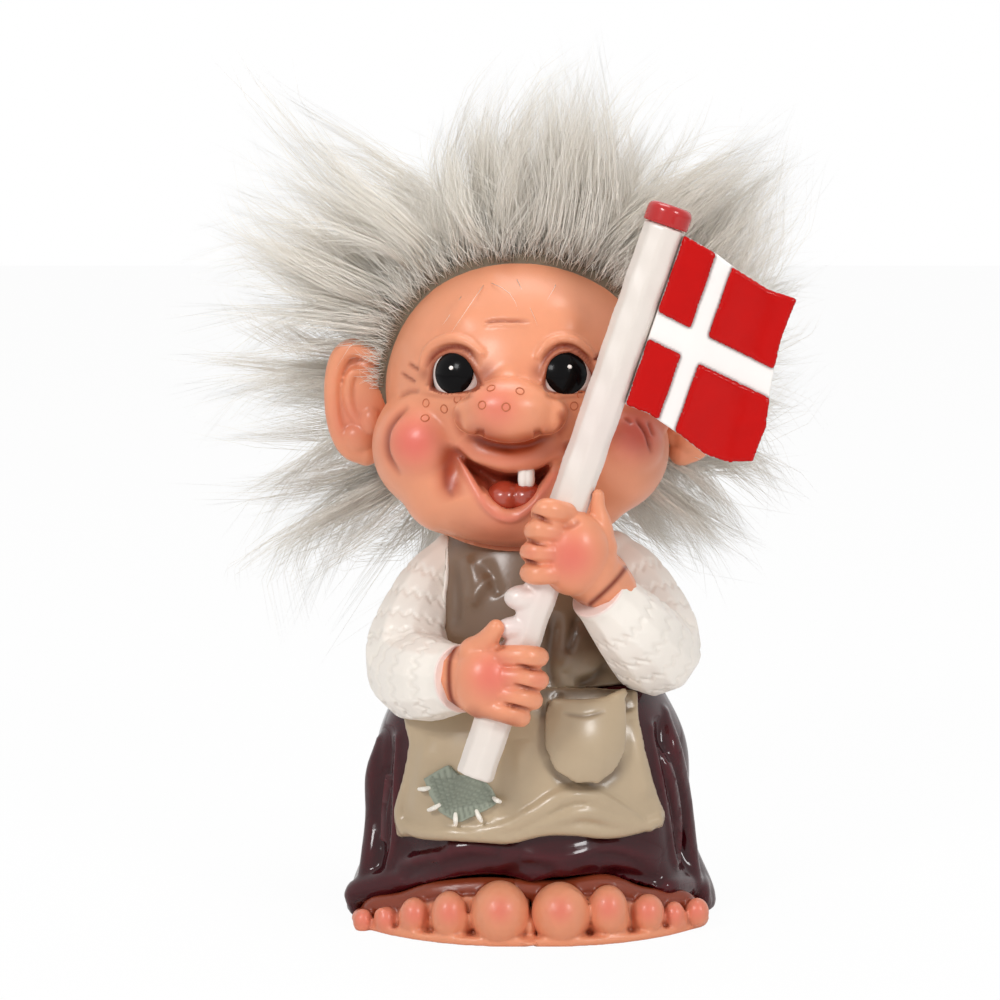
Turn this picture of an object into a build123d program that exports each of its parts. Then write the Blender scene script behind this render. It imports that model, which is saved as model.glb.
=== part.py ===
from build123d import *
import os
from math import asin, cos, pi, radians, sin, sqrt

# Troll figure with flag, in millimetres.
# The figure stands on z = 0, faces -Y, and its own right hand is on the -X side.
# The origin is the middle of the underside, below the neck.

os.makedirs("parts", exist_ok=True)

# Fits between the pieces
fit_gap = 0.05
overrun = 6.0

# Width of each foot from the middle, which the skirt's foot and its bay follow
foot_half_width = 29.8
hem_wall = 1.4
bay_margin = 0.2

# Skirt, a bell cast with soft folds
skirt_height = 41.0
skirt_centre_y = -2.5
skirt_foot_half_width = foot_half_width + hem_wall
skirt_hip_half_width = 27.6
skirt_waist_half_width = 21.6
skirt_foot_half_depth = 22.8
skirt_hip_half_depth = 21.6
skirt_waist_half_depth = 17.0
skirt_fold_depth = 0.7
skirt_fold_count = 9
skirt_level_shares = (0.0, 0.12, 0.3, 0.6, 0.9, 1.0)
skirt_narrowing_shares = (0.0, 0.18, 1.0, 1.0, 1.0, 1.0)
skirt_waist_shares = (0.0, 0.0, 0.0, 0.12, 0.72, 1.0)
skirt_fold_shares = (1.0, 0.95, 0.8, 0.6, 0.2, 0.0)

# Foot bay, the arched opening at the front of the skirt
bay_depth = 18.0
bay_half_width = foot_half_width + bay_margin
bay_height = 10.6
bay_outline_shares = ((0.0, 0.9), (0.2, 1.0), (0.43, 0.93), (0.68, 0.68), (0.93, 0.55))

# Feet
foot_gap = 0.15
foot_front_y = -24.0
foot_side_y = -12.5
foot_bulge_share = 0.3
sole_thickness = 1.3
sole_reach = 5.0
sole_bulge_share = 0.66
sole_side_share = 0.5
toe_row_front_y = -25.3
toe_row_side_y = -16.0
big_toe_share = 0.1628
big_toe_radius = foot_half_width * big_toe_share
big_toe_half_height = 5.1
toe_across_shares = (0.1685, 0.439, 0.65, 0.81, 0.945)
toe_back_shares = (0.0, 0.14, 0.41, 0.68, 1.0)
toe_width_shares = (1.0, 0.69, 0.56, 0.44, 0.39)
toe_height_shares = (1.0, 0.8, 0.67, 0.54, 0.45)

# Torso with the pegs for skirt and head
torso_top_z = 66.0
torso_waist_half_width = 19.6
torso_waist_half_depth = 15.4
torso_chest_half_width = 17.2
torso_chest_half_depth = 14.4
torso_neck_half_width = 12.5
torso_neck_half_depth = 10.5
torso_centre_y = -2.5
torso_level_shares = (0.0, 0.5, 1.0)
neck_peg_radius = 6.0
neck_peg_top_z = 73.0
neck_peg_length = 16.0
skirt_peg_radius = 9.0
skirt_peg_length = 5.0

# Apron, its bib, pocket, patch and stitches
apron_thickness = 1.8
apron_hem_flare = 2.6
apron_half_width = 21.6
apron_hem_z = 17.4
apron_outline_shares = (
    (0.78, 1.0), (0.86, 0.6), (1.02, 0.12), (0.8, 0.04), (0.55, 0.03), (0.3, 0.08),
    (0.0, 0.02), (-0.55, 0.0), (-0.95, -0.04), (-1.03, 0.14), (-0.92, 0.52), (-0.88, 1.0),
)
hem_roll_thickness = 0.9
hem_roll_top_shares = (
    (1.02, 0.14), (0.62, 0.15), (0.3, 0.3), (-0.06, 0.12), (-0.5, 0.09), (-1.0, 0.1),
)
bib_thickness = 1.2
bib_half_width = 14.5
bib_waist_half_width = 17.0
bib_narrow_share = 0.36
bib_top_z = 65.2
pocket_thickness = 2.4
pocket_centre_x = 8.0
pocket_half_width = 5.9
pocket_drop = 12.8
pocket_side_share = 0.55
pocket_lean = 0.8
pocket_slot_width = 0.9
pocket_slot_half_width = 4.4
pocket_slot_depth = 4.6
patch_thickness = 0.7
patch_centre_x = -11.2
patch_centre_z = 25.4
patch_half_width = 6.6
patch_half_height = 4.4
patch_turn = -24.0
patch_corner_radius = 1.5
stitch_length = 2.6
stitch_width = 0.9
stitch_rise = 0.45
stitch_place_shares = ((-1.0, 0.45), (-0.86, -0.95), (-0.2, -1.05), (0.5, -1.1), (0.85, 0.35))
stitch_turns = (20.0, 55.0, 85.0, 105.0, 10.0)

# Flagstaff, a whittled stick with a twig stub and a cap
staff_foot = (-9.3, -31.2, 29.2)
staff_head = (21.4, -27.2, 118.6)
staff_foot_radius = 3.2
staff_head_radius = 3.5
staff_sides = 8
twig_root_radius = 2.2
twig_tip_radius = 1.8
twig_reach = 4.4
twig_rise = 1.2
twig_place_shares = (0.34, 0.31)
cap_radius = 3.75
cap_height = 2.2
cap_dome = 1.2
cap_peg_radius = 1.3
cap_peg_length = 2.6

# Flag, laid out from its upper corner at the staff
flag_length = 20.8
flag_height = 29.4
flag_thickness = 2.2
flag_wave = 1.1
flag_top_gap = 0.4
flag_outline_shares = (
    (0.0, 0.0), (0.29, 0.04), (0.48, 0.085), (0.76, 0.13), (1.0, 0.13),
    (0.985, 0.34), (1.01, 0.53), (1.05, 0.68), (1.1, 0.85), (1.09, 1.05),
    (0.92, 1.1), (0.72, 1.1), (0.48, 1.04), (0.2, 0.985), (0.0, 0.98),
)
flag_wave_shares = ((-0.2, 0.4), (0.1, -0.3), (0.4, -1.0), (0.7, -0.2), (1.0, 0.9), (1.3, 0.2))
cross_mast_shares = (0.285, 0.43)
cross_level_shares = (0.43, 0.58)
cross_droop_share = 0.13
field_rise = 0.4
field_margin = 0.3

# Sleeves
shoulder_radius = 5.2
elbow_radius = 8.3
cuff_radius = 6.1
right_shoulder = (-14.6, -4.0, 60.0)
right_elbow = (-19.7, -10.0, 43.8)
right_cuff = (-12.6, -25.0, 45.3)
left_shoulder = (15.6, -4.0, 60.2)
left_elbow = (20.9, -10.4, 46.0)
left_cuff = (10.8, -26.2, 59.6)

# Hands, each a fist round the staff
right_fist_share = 0.191
left_fist_share = 0.415
finger_radius = 1.75
finger_tip_radius = 1.66
finger_pitch = 3.3
finger_count = 4
finger_turn_start = -150.0
finger_turn_reach = 205.0
palm_radius = 5.9
palm_top_radius = 5.2
palm_half_height = 7.4
palm_across = 3.6
palm_forward = 2.6
thumb_root_radius = 2.7
thumb_tip_radius = 1.6
wrist_root_radius = 5.3
wrist_radius = 4.4
right_thumb_root = (-7.6, -3.0, 2.0)
right_thumb_tip = (-3.2, -4.9, 8.6)
left_thumb_root = (-7.8, -3.0, 2.4)
left_thumb_tip = (-3.4, -3.6, 10.4)

# Head, in its own frame: middle of the skull, face towards -Y, then turned by the yaw
head_centre = (-0.5, 0.5, 90.0)
face_yaw = 6.9
skull_radius = 24.1
skull_ball_turn = (60.0, 0.0, 90.0)
cheek_across = 13.6
cheek_y = -10.2
cheek_drop = 9.4
cheek_radius = 11.4
chin_y = -14.4
chin_drop = 17.2
chin_radius = 9.0
chin_half_width = 16.0
nose_y = -26.2
nose_drop = 2.0
nose_radius = 5.4
wing_across = 5.1
wing_y = -24.6
wing_drop = 3.4
wing_radius = 3.8
bridge_top_y = -20.6
bridge_top_rise = 6.0
bridge_radius = 3.0
mouth_half_width = 8.9
mouth_corner_drop = 9.0
mouth_sag = 3.0
mouth_height = 6.6
mouth_back_y = -13.6
lip_width = 1.5
lip_rise = 1.1
ear_across = 26.4
ear_y = 1.6
ear_turn = 14.0
ear_drop = 0.8
ear_radius = 7.3
lobe_across = 26.0
lobe_drop = 8.1
lobe_radius = 4.5
ear_half_thickness = 3.0
ear_edge_radius = 2.6
ear_scoop_radius = 5.2
ear_scoop_depth = 1.9

# Eyes
eye_turn = 25.05
eye_aside = 1.65
eye_lift = 10.4
eyeball_radius = 5.5
eye_sink = 5.2
eye_back = 1.4
eye_opening_half_width = 4.0
eye_opening_rise = 3.5
eye_opening_drop = 2.9
iris_radius = 3.05
iris_rise = 0.2
lid_ring_radius = 5.3
lid_ring_thickness = 0.85
lid_ring_sink = 0.5
lid_ring_arc = 150.0

# Tongue and tooth
tongue_radius = 4.6
tongue_height = 2.5
tongue_drop = 14.75
tooth_width = 2.6
tooth_height = 3.9
tooth_depth = 1.9
tooth_across = 2.2
tooth_top_drop = 10.9
tooth_y = -19.6
tooth_corner = 0.6

# Fur, a pelt glued over the back of the head, with long tufts
pelt_thickness = 1.1
pelt_front_y = -14.6
pelt_front_rise = 21.0
pelt_tilt = 24.0
pelt_low_drop = 18.0
fur_gap = 0.15
fur_core_radius = 36.0
tuft_root_distance = 19.0
tuft_root_radius = 15.0
tuft_tip_radius = 4.5
tuft_reach = 52.0
# Each tuft's turn from straight up in the front view, its lean to the back, and its reach as a share
tuft_shares = (
    (3.0, -4.0, 1.0), (22.0, 4.0, 1.0), (46.0, 2.0, 1.07), (66.0, 4.0, 0.93), (89.0, 6.0, 0.83),
    (111.0, 10.0, 0.84), (131.0, 16.0, 0.9), (-20.0, 2.0, 0.86), (-42.0, 0.0, 1.16),
    (-60.0, 4.0, 1.12), (-80.0, 4.0, 1.06), (-101.0, 8.0, 1.04), (-122.0, 14.0, 1.04),
    (-141.0, 22.0, 1.08), (16.0, 42.0, 0.9), (-40.0, 44.0, 0.94), (78.0, 46.0, 0.8),
    (-92.0, 48.0, 0.86), (155.0, 46.0, 0.82), (-160.0, 44.0, 0.86), (0.0, 78.0, 0.84),
)

# Planes of the head and the staff
head_plane = Plane(
    origin=head_centre,
    x_dir=(cos(radians(face_yaw)), -sin(radians(face_yaw)), 0),
    z_dir=(0, 0, 1),
)
hairline_plane = Plane(
    origin=(0, pelt_front_y, pelt_front_rise),
    x_dir=(1, 0, 0),
    z_dir=(0, cos(radians(pelt_tilt)), sin(radians(pelt_tilt))),
)
staff_line = Vector(*staff_head) - Vector(*staff_foot)
staff_length = staff_line.length
staff_across = Vector(0, 1, 0).cross(staff_line)
staff_plane = Plane(origin=staff_foot, x_dir=staff_across, z_dir=staff_line)
flag_plane = Plane(origin=staff_head, x_dir=staff_across, z_dir=staff_line)
flag_front_plane = Plane(
    origin=staff_head, x_dir=staff_across, z_dir=staff_across.cross(staff_line)
)


def spheroid(radius, half_height):
    """A ball about the origin, stretched along Z."""
    with BuildPart() as ball:
        with BuildSketch(Plane.XZ):
            with BuildLine():
                EllipticalCenterArc((0, 0), radius, half_height, start_angle=-90, arc_size=180)
                Line((0, half_height), (0, -half_height))
            make_face()
        revolve(axis=Axis.Z)
    return ball.part


def round_cone(start, end, start_radius, end_radius):
    """A tapered bar with ball ends whose side is tangent to both balls."""
    axis_line = Vector(*end) - Vector(*start)
    length = axis_line.length
    slope = asin((start_radius - end_radius) / length)
    start_side = (start_radius * cos(slope), start_radius * sin(slope))
    end_side = (end_radius * cos(slope), length + end_radius * sin(slope))
    low_angle = (slope - pi / 2) / 2
    high_angle = (slope + pi / 2) / 2
    low_middle = (start_radius * cos(low_angle), start_radius * sin(low_angle))
    high_middle = (end_radius * cos(high_angle), length + end_radius * sin(high_angle))
    with BuildPart() as bar:
        with BuildSketch(Plane.XZ):
            with BuildLine():
                ThreePointArc((0, -start_radius), low_middle, start_side)
                Line(start_side, end_side)
                ThreePointArc(end_side, high_middle, (0, length + end_radius))
                Line((0, length + end_radius), (0, -start_radius))
            make_face()
        revolve(axis=Axis.Z)
    return Plane(start, z_dir=axis_line).location * bar.part


def skirt_bell(grow, flare=0.0):
    """The skirt's bell grown outwards by grow, and by flare more towards its hem."""
    ring_points = 4 * skirt_fold_count
    with BuildPart() as bell_shape:
        for level, narrowing, waist, fold in zip(
            skirt_level_shares, skirt_narrowing_shares, skirt_waist_shares, skirt_fold_shares
        ):
            width = skirt_foot_half_width
            width += (skirt_hip_half_width - skirt_foot_half_width) * narrowing
            width += (skirt_waist_half_width - skirt_hip_half_width) * waist
            depth = skirt_foot_half_depth
            depth += (skirt_hip_half_depth - skirt_foot_half_depth) * narrowing
            depth += (skirt_waist_half_depth - skirt_hip_half_depth) * waist
            out = grow + flare * fold
            points = []
            for step in range(ring_points):
                angle = 2 * pi * step / ring_points
                wave = skirt_fold_depth * fold * cos(skirt_fold_count * angle)
                across = (width + out + wave) * cos(angle)
                points.append((across, (depth + out + wave) * sin(angle) + skirt_centre_y))
            with BuildSketch(Plane.XY.offset(skirt_height * level)):
                with BuildLine():
                    Spline(*points, periodic=True)
                make_face()
        loft()
    return bell_shape.part


def torso_block(grow):
    """The upper body from the skirt's top to the neck, grown outwards by grow."""
    rise = torso_top_z - skirt_height
    widths = (torso_waist_half_width, torso_chest_half_width, torso_neck_half_width)
    depths = (torso_waist_half_depth, torso_chest_half_depth, torso_neck_half_depth)
    with BuildPart() as block:
        for width, depth, share in zip(widths, depths, torso_level_shares):
            with BuildSketch(Plane.XY.offset(skirt_height + rise * share)):
                with Locations((0, torso_centre_y)):
                    Ellipse(width + grow, depth + grow)
        loft()
    return block.part


def skull_ball(grow):
    """The bare skull, turned so that its poles lie on the plain forehead and the nape."""
    with BuildPart() as ball:
        with Locations(Location((0, 0, 0), skull_ball_turn)):
            Sphere(skull_radius + grow)
    return ball.part


def head_ball(grow):
    """The skull, cheeks and chin without features, in the head's own frame, grown by grow."""
    skull = skull_ball(grow)
    chin = spheroid(chin_radius + grow, chin_half_width + grow)
    with BuildPart() as ball:
        add(skull)
        with Locations(
            (cheek_across, cheek_y, -cheek_drop), (-cheek_across, cheek_y, -cheek_drop)
        ):
            Sphere(cheek_radius + grow)
        with Locations(Location((0, chin_y, -chin_drop), (0, 90, 0))):
            add(chin)
    return ball.part


def bay_block(side, half_width, height, inner_edge):
    """One half of the foot bay as a block that runs forwards from the back of the bay."""
    points = [(side * half_width * across, height * up) for across, up in bay_outline_shares]
    points[0] = (side * inner_edge, height * bay_outline_shares[0][1])
    with BuildPart() as block:
        with BuildSketch(Plane.XZ.offset(-bay_back_y)):
            with BuildLine():
                Line((side * inner_edge, 0), points[0])
                Spline(*points)
                Line(points[-1], (side * half_width, 0))
                Line((side * half_width, 0), (side * inner_edge, 0))
            make_face()
        extrude(amount=front_reach)
    return block.part


# Skirt
bell = skirt_bell(0)
front_reach = skirt_foot_half_depth + skirt_foot_half_width
bay_back_y = skirt_centre_y - skirt_hip_half_depth + bay_depth
bay_halves = [bay_block(side, bay_half_width, bay_height, 0) for side in (-1, 1)]

with BuildPart() as skirt:
    add(bell)
    add(bay_halves, mode=Mode.SUBTRACT)
    with BuildSketch(Plane.XY.offset(skirt_height)):
        with Locations((0, torso_centre_y)):
            Circle(skirt_peg_radius + fit_gap)
    extrude(amount=-skirt_peg_length - fit_gap, mode=Mode.SUBTRACT)
skirt.part.label = "skirt"


def make_foot(side):
    """One bare foot: a thin sole, an instep that fills half the bay, and five round toes."""
    instep = bay_block(side, foot_half_width, bay_height - foot_gap, foot_gap)
    toes = [
        spheroid(big_toe_radius * width, big_toe_half_height * height)
        for width, height in zip(toe_width_shares, toe_height_shares)
    ]
    inner_back = (side * foot_gap, bay_back_y)
    inner_front = (side * foot_gap, foot_front_y)
    outer_front = (side * foot_half_width, foot_side_y)
    outer_back = (side * foot_half_width, bay_back_y)
    bulge_x = side * foot_half_width * (1 - foot_bulge_share)
    bulge_y = foot_front_y * (1 - foot_bulge_share / 2)
    sole_inner = (side * foot_gap, foot_front_y - sole_reach)
    sole_outer = (side * foot_half_width, foot_side_y - sole_reach * sole_side_share)
    with BuildPart() as foot:
        with BuildSketch(Plane.XY):
            with BuildLine():
                Line(inner_back, inner_front)
                ThreePointArc(inner_front, (bulge_x, bulge_y), outer_front)
                Line(outer_front, outer_back)
                Line(outer_back, inner_back)
            make_face()
        extrude(amount=bay_height)
        add(instep, mode=Mode.INTERSECT)
        with BuildSketch(Plane.XY):
            with BuildLine():
                Line(inner_front, sole_inner)
                ThreePointArc(
                    sole_inner, (bulge_x, bulge_y - sole_reach * sole_bulge_share), sole_outer
                )
                Line(sole_outer, outer_front)
                Line(outer_front, inner_front)
            make_face()
        extrude(amount=sole_thickness)
        for toe, across, back, height in zip(
            toes, toe_across_shares, toe_back_shares, toe_height_shares
        ):
            toe_y = toe_row_front_y + (toe_row_side_y - toe_row_front_y) * back
            toe_z = big_toe_half_height * height
            with Locations((side * foot_half_width * across, toe_y, toe_z)):
                add(toe)
    return foot


right_foot = make_foot(-1)
right_foot.part.label = "right_foot"
left_foot = make_foot(1)
left_foot.part.label = "left_foot"

# Torso
upper_body = torso_block(0)

with BuildPart() as torso:
    add(upper_body)
    with BuildSketch(Plane.XY.offset(neck_peg_top_z)):
        with Locations((0, torso_centre_y)):
            Circle(neck_peg_radius)
    extrude(amount=-neck_peg_length)
    with BuildSketch(Plane.XY.offset(skirt_height - skirt_peg_length)):
        with Locations((0, torso_centre_y)):
            Circle(skirt_peg_radius)
    extrude(amount=2 * skirt_peg_length)
torso.part.label = "torso"


def front_block(points):
    """A block behind an outline in the front view, from the skirt's middle forwards."""
    with BuildPart() as block:
        with BuildSketch(Plane.XZ.offset(-skirt_centre_y)):
            with BuildLine():
                Polyline(*points, close=True)
            make_face()
        extrude(amount=front_reach)
    return block.part


def apron_points(shares):
    """Places on the apron's front from shares of its half width and its drop."""
    drop = skirt_height - apron_hem_z
    return [(apron_half_width * across, apron_hem_z + drop * up) for across, up in shares]


# Apron over the skirt, with the rolled edge along its hem
apron_body = skirt_bell(apron_thickness, apron_hem_flare)
roll_body = skirt_bell(apron_thickness + hem_roll_thickness, apron_hem_flare)
apron_block = front_block(apron_points(apron_outline_shares))
roll_block = front_block(
    apron_points(hem_roll_top_shares) + apron_points(reversed(apron_outline_shares[3:-3]))
)

with BuildPart() as hem_roll:
    add(roll_body)
    add(roll_block, mode=Mode.INTERSECT)

with BuildPart() as apron:
    add(apron_body)
    add(apron_block, mode=Mode.INTERSECT)
    add(hem_roll.part)
    add(bell, mode=Mode.SUBTRACT)
apron.part.label = "apron"

# Bib on the chest
bib_body = torso_block(bib_thickness)
bib_neck_z = skirt_height + (bib_top_z - skirt_height) * bib_narrow_share
bib_block = front_block(
    [
        (-bib_waist_half_width, skirt_height),
        (bib_waist_half_width, skirt_height),
        (bib_half_width, bib_neck_z),
        (bib_half_width, bib_top_z),
        (-bib_half_width, bib_top_z),
        (-bib_half_width, bib_neck_z),
    ]
)

with BuildPart() as apron_bib:
    add(bib_body)
    add(bib_block, mode=Mode.INTERSECT)
    add(upper_body, mode=Mode.SUBTRACT)
apron_bib.part.label = "apron_bib"

# Pocket, open at its top edge
pocket_body = skirt_bell(apron_thickness + pocket_thickness, apron_hem_flare)
slot_body = skirt_bell(apron_thickness + pocket_slot_width, apron_hem_flare)
pocket_side_z = skirt_height - pocket_drop * pocket_side_share

with BuildPart() as pocket_slot:
    with BuildSketch(Plane.XZ.offset(-skirt_centre_y)):
        with Locations((pocket_centre_x, skirt_height)):
            Ellipse(pocket_slot_half_width, pocket_slot_depth)
    extrude(amount=front_reach)
    add(slot_body, mode=Mode.INTERSECT)

with BuildPart() as apron_pocket:
    with BuildSketch(Plane.XZ.offset(-skirt_centre_y)):
        with BuildLine():
            Polyline(
                (pocket_centre_x + pocket_half_width + pocket_lean, pocket_side_z),
                (pocket_centre_x + pocket_half_width, skirt_height),
                (pocket_centre_x - pocket_half_width, skirt_height),
                (pocket_centre_x - pocket_half_width - pocket_lean, pocket_side_z),
            )
            ThreePointArc(
                (pocket_centre_x - pocket_half_width - pocket_lean, pocket_side_z),
                (pocket_centre_x, skirt_height - pocket_drop),
                (pocket_centre_x + pocket_half_width + pocket_lean, pocket_side_z),
            )
        make_face()
    extrude(amount=front_reach)
    add(pocket_body, mode=Mode.INTERSECT)
    add(apron.part, mode=Mode.SUBTRACT)
    add(bell, mode=Mode.SUBTRACT)
    add(pocket_slot.part, mode=Mode.SUBTRACT)
apron_pocket.part.label = "apron_pocket"

# Sewn patch and its stitches
patch_body = skirt_bell(apron_thickness + patch_thickness, apron_hem_flare)
stitch_body = skirt_bell(apron_thickness + patch_thickness + stitch_rise, apron_hem_flare)

with BuildPart() as apron_patch:
    with BuildSketch(Plane.XZ.offset(-skirt_centre_y)):
        with Locations((patch_centre_x, patch_centre_z)):
            RectangleRounded(
                2 * patch_half_width, 2 * patch_half_height, patch_corner_radius, patch_turn
            )
    extrude(amount=front_reach)
    add(patch_body, mode=Mode.INTERSECT)
    add(apron.part, mode=Mode.SUBTRACT)
    add(bell, mode=Mode.SUBTRACT)
apron_patch.part.label = "apron_patch"

with BuildPart() as patch_stitches:
    with BuildSketch(Plane.XZ.offset(-skirt_centre_y)):
        for (across, up), turn in zip(stitch_place_shares, stitch_turns):
            place = Vector(patch_half_width * across, patch_half_height * up, 0)
            place = place.rotate(Axis.Z, patch_turn)
            with Locations((patch_centre_x + place.X, patch_centre_z + place.Y)):
                SlotOverall(stitch_length, stitch_width, turn + patch_turn)
    extrude(amount=front_reach)
    add(stitch_body, mode=Mode.INTERSECT)
    add(apron.part, mode=Mode.SUBTRACT)
    add(apron_patch.part, mode=Mode.SUBTRACT)
    add(bell, mode=Mode.SUBTRACT)
patch_stitches.part.label = "patch_stitches"


def staff_bar(grow):
    """The whittled stick alone, from its foot to its head, grown outwards by grow."""
    with BuildPart() as bar:
        with BuildSketch(staff_plane):
            RegularPolygon(staff_foot_radius + grow, staff_sides)
        with BuildSketch(staff_plane.offset(staff_length)):
            RegularPolygon(staff_head_radius + grow, staff_sides)
        loft()
    return bar.part


def staff_point(across, depth, along):
    """A place given across, behind and along the staff's axis."""
    return tuple(staff_plane.from_local_coords(Vector(across, depth, along)))


def twig_stub(share, grow):
    """A twig stub at a share of the staff's length, grown outwards by grow."""
    along = staff_length * share
    return round_cone(
        staff_point(0, 0, along),
        staff_point(-twig_reach, 0, along + twig_rise),
        twig_root_radius + grow,
        twig_tip_radius + grow,
    )


# Flagstaff
staff_stick = staff_bar(0)
staff_bore = staff_bar(fit_gap)
twigs = [twig_stub(share, 0) for share in twig_place_shares]
twig_rooms = [twig_stub(share, fit_gap) for share in twig_place_shares]

with BuildPart() as flagstaff:
    add(staff_stick)
    add(twigs)
    with BuildSketch(flag_plane):
        Circle(cap_peg_radius + fit_gap)
    extrude(amount=-cap_peg_length - fit_gap, mode=Mode.SUBTRACT)
flagstaff.part.label = "flagstaff"

with BuildPart() as staff_cap:
    with BuildSketch(flag_plane):
        Circle(cap_radius)
    extrude(amount=cap_height + cap_dome)
    cap_rims = staff_cap.edges().sort_by(Axis(staff_head, staff_line))
    fillet(cap_rims[-1], radius=cap_dome)
    with BuildSketch(flag_plane.offset(cap_height / 2)):
        Circle(cap_peg_radius)
    extrude(amount=-cap_peg_length - cap_height / 2)
staff_cap.part.label = "staff_cap"


def flag_points(shares):
    """Places on the flag from shares of its length and height, from its upper staff corner."""
    return [
        (staff_foot_radius + flag_length * across, -flag_top_gap - flag_height * down)
        for across, down in shares
    ]


def wave_sheet(front, back):
    """A waving sheet between two depths either side of the flag's middle."""
    line = [(flag_length * across, flag_wave * out) for across, out in flag_wave_shares]
    front_line = [(across, depth + front) for across, depth in line]
    back_line = [(across, depth + back) for across, depth in line]
    with BuildPart() as sheet:
        with BuildSketch(flag_plane.offset(overrun)):
            with BuildLine():
                Spline(*front_line)
                Spline(*back_line)
                Line(front_line[0], back_line[0])
                Line(front_line[-1], back_line[-1])
            make_face()
        extrude(amount=-flag_height - 3 * overrun)
    return sheet.part


# Flag cloth with the four raised fields on each side
cloth_sheet = wave_sheet(-flag_thickness / 2, flag_thickness / 2)
front_sheet = wave_sheet(-flag_thickness / 2 - field_rise, -flag_thickness / 2)
back_sheet = wave_sheet(flag_thickness / 2, flag_thickness / 2 + field_rise)
flag_outline = flag_points(flag_outline_shares)
mast_left, mast_right = (
    staff_foot_radius + flag_length * share for share in cross_mast_shares
)
level_top, level_bottom = (
    -flag_top_gap - flag_height * share for share in cross_level_shares
)
bar_end = flag_length + 2 * overrun
droop = bar_end * cross_droop_share

with BuildPart() as flag_cloth:
    with BuildSketch(flag_front_plane.offset(-overrun)):
        with BuildLine():
            Polyline(*flag_outline, close=True)
        make_face()
    extrude(amount=2 * overrun)
    add(cloth_sheet, mode=Mode.INTERSECT)
    add(staff_bore, mode=Mode.SUBTRACT)
flag_cloth.part.label = "flag_cloth"

with BuildPart() as field_block:
    with BuildSketch(flag_front_plane.offset(-overrun)):
        with BuildLine():
            Polyline(*flag_outline, close=True)
        make_face()
        offset(amount=-field_margin, kind=Kind.INTERSECTION)
        with BuildLine():
            Polyline(
                (mast_left - field_margin, overrun),
                (mast_right + field_margin, overrun),
                (mast_right + field_margin, -flag_height - 2 * overrun),
                (mast_left - field_margin, -flag_height - 2 * overrun),
                close=True,
            )
        make_face(mode=Mode.SUBTRACT)
        with BuildLine():
            Polyline(
                (0, level_top + field_margin),
                (bar_end, level_top + field_margin - droop),
                (bar_end, level_bottom - field_margin - droop),
                (0, level_bottom - field_margin),
                close=True,
            )
        make_face(mode=Mode.SUBTRACT)
    extrude(amount=2 * overrun)
    add(staff_bore, mode=Mode.SUBTRACT)

with BuildPart() as front_fields:
    add(field_block.part)
    add(front_sheet, mode=Mode.INTERSECT)

with BuildPart() as back_fields:
    add(field_block.part)
    add(back_sheet, mode=Mode.INTERSECT)

with BuildPart() as flag_fields:
    add(front_fields.part)
    add(back_fields.part)
flag_fields.part.label = "flag_fields"


def make_hand(side, fist_share, cuff, thumb_root, thumb_tip):
    """A fist round the staff: four curled fingers, the back of the hand, thumb and wrist."""
    origin = staff_point(0, 0, staff_length * fist_share)
    fist_plane = Plane(origin=origin, x_dir=staff_across, z_dir=staff_line)
    wrist = fist_plane.to_local_coords(Vector(*cuff))
    wrist_end = (-side * wrist.X, wrist.Y, wrist.Z)
    knuckle_radius = staff_head_radius + fit_gap + finger_radius
    first_z = -finger_pitch * (finger_count - 1) / 2
    tip_turn = radians(finger_turn_start + finger_turn_reach)
    palm_centre = (-palm_across, -palm_forward, 0)
    palm_rise = palm_half_height - palm_radius
    palm = round_cone(
        (-palm_across, -palm_forward, -palm_rise),
        (-palm_across, -palm_forward, palm_rise + palm_radius - palm_top_radius),
        palm_radius,
        palm_top_radius,
    )
    thumb = round_cone(thumb_root, thumb_tip, thumb_root_radius, thumb_tip_radius)
    wrist_bar = round_cone(palm_centre, wrist_end, wrist_root_radius, wrist_radius)
    with BuildPart() as fingers:
        with BuildSketch(Plane.XZ):
            for i in range(finger_count):
                with Locations((knuckle_radius, first_z + finger_pitch * i)):
                    Circle(finger_radius)
        revolve(axis=Axis.Z, revolution_arc=finger_turn_reach)
    with BuildPart() as fist:
        with Locations(Location((0, 0, 0), (0, 0, finger_turn_start))):
            add(fingers.part)
        for i in range(finger_count):
            tip = (knuckle_radius * cos(tip_turn), knuckle_radius * sin(tip_turn))
            with Locations((tip[0], tip[1], first_z + finger_pitch * i)):
                Sphere(finger_tip_radius)
        add(palm)
        add(thumb)
        add(wrist_bar)
    with BuildPart() as handed_fist:
        if side > 0:
            mirror(fist.part, about=Plane.YZ)
        else:
            add(fist.part)
    with BuildPart(fist_plane) as hand:
        add(handed_fist.part)
    with BuildPart() as bored_hand:
        add(hand.part)
        add(staff_bore, mode=Mode.SUBTRACT)
        add(twig_rooms, mode=Mode.SUBTRACT)
    return bored_hand


right_hand = make_hand(-1, right_fist_share, right_cuff, right_thumb_root, right_thumb_tip)
right_hand.part.label = "right_hand"
left_hand = make_hand(1, left_fist_share, left_cuff, left_thumb_root, left_thumb_tip)
left_hand.part.label = "left_hand"


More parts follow.
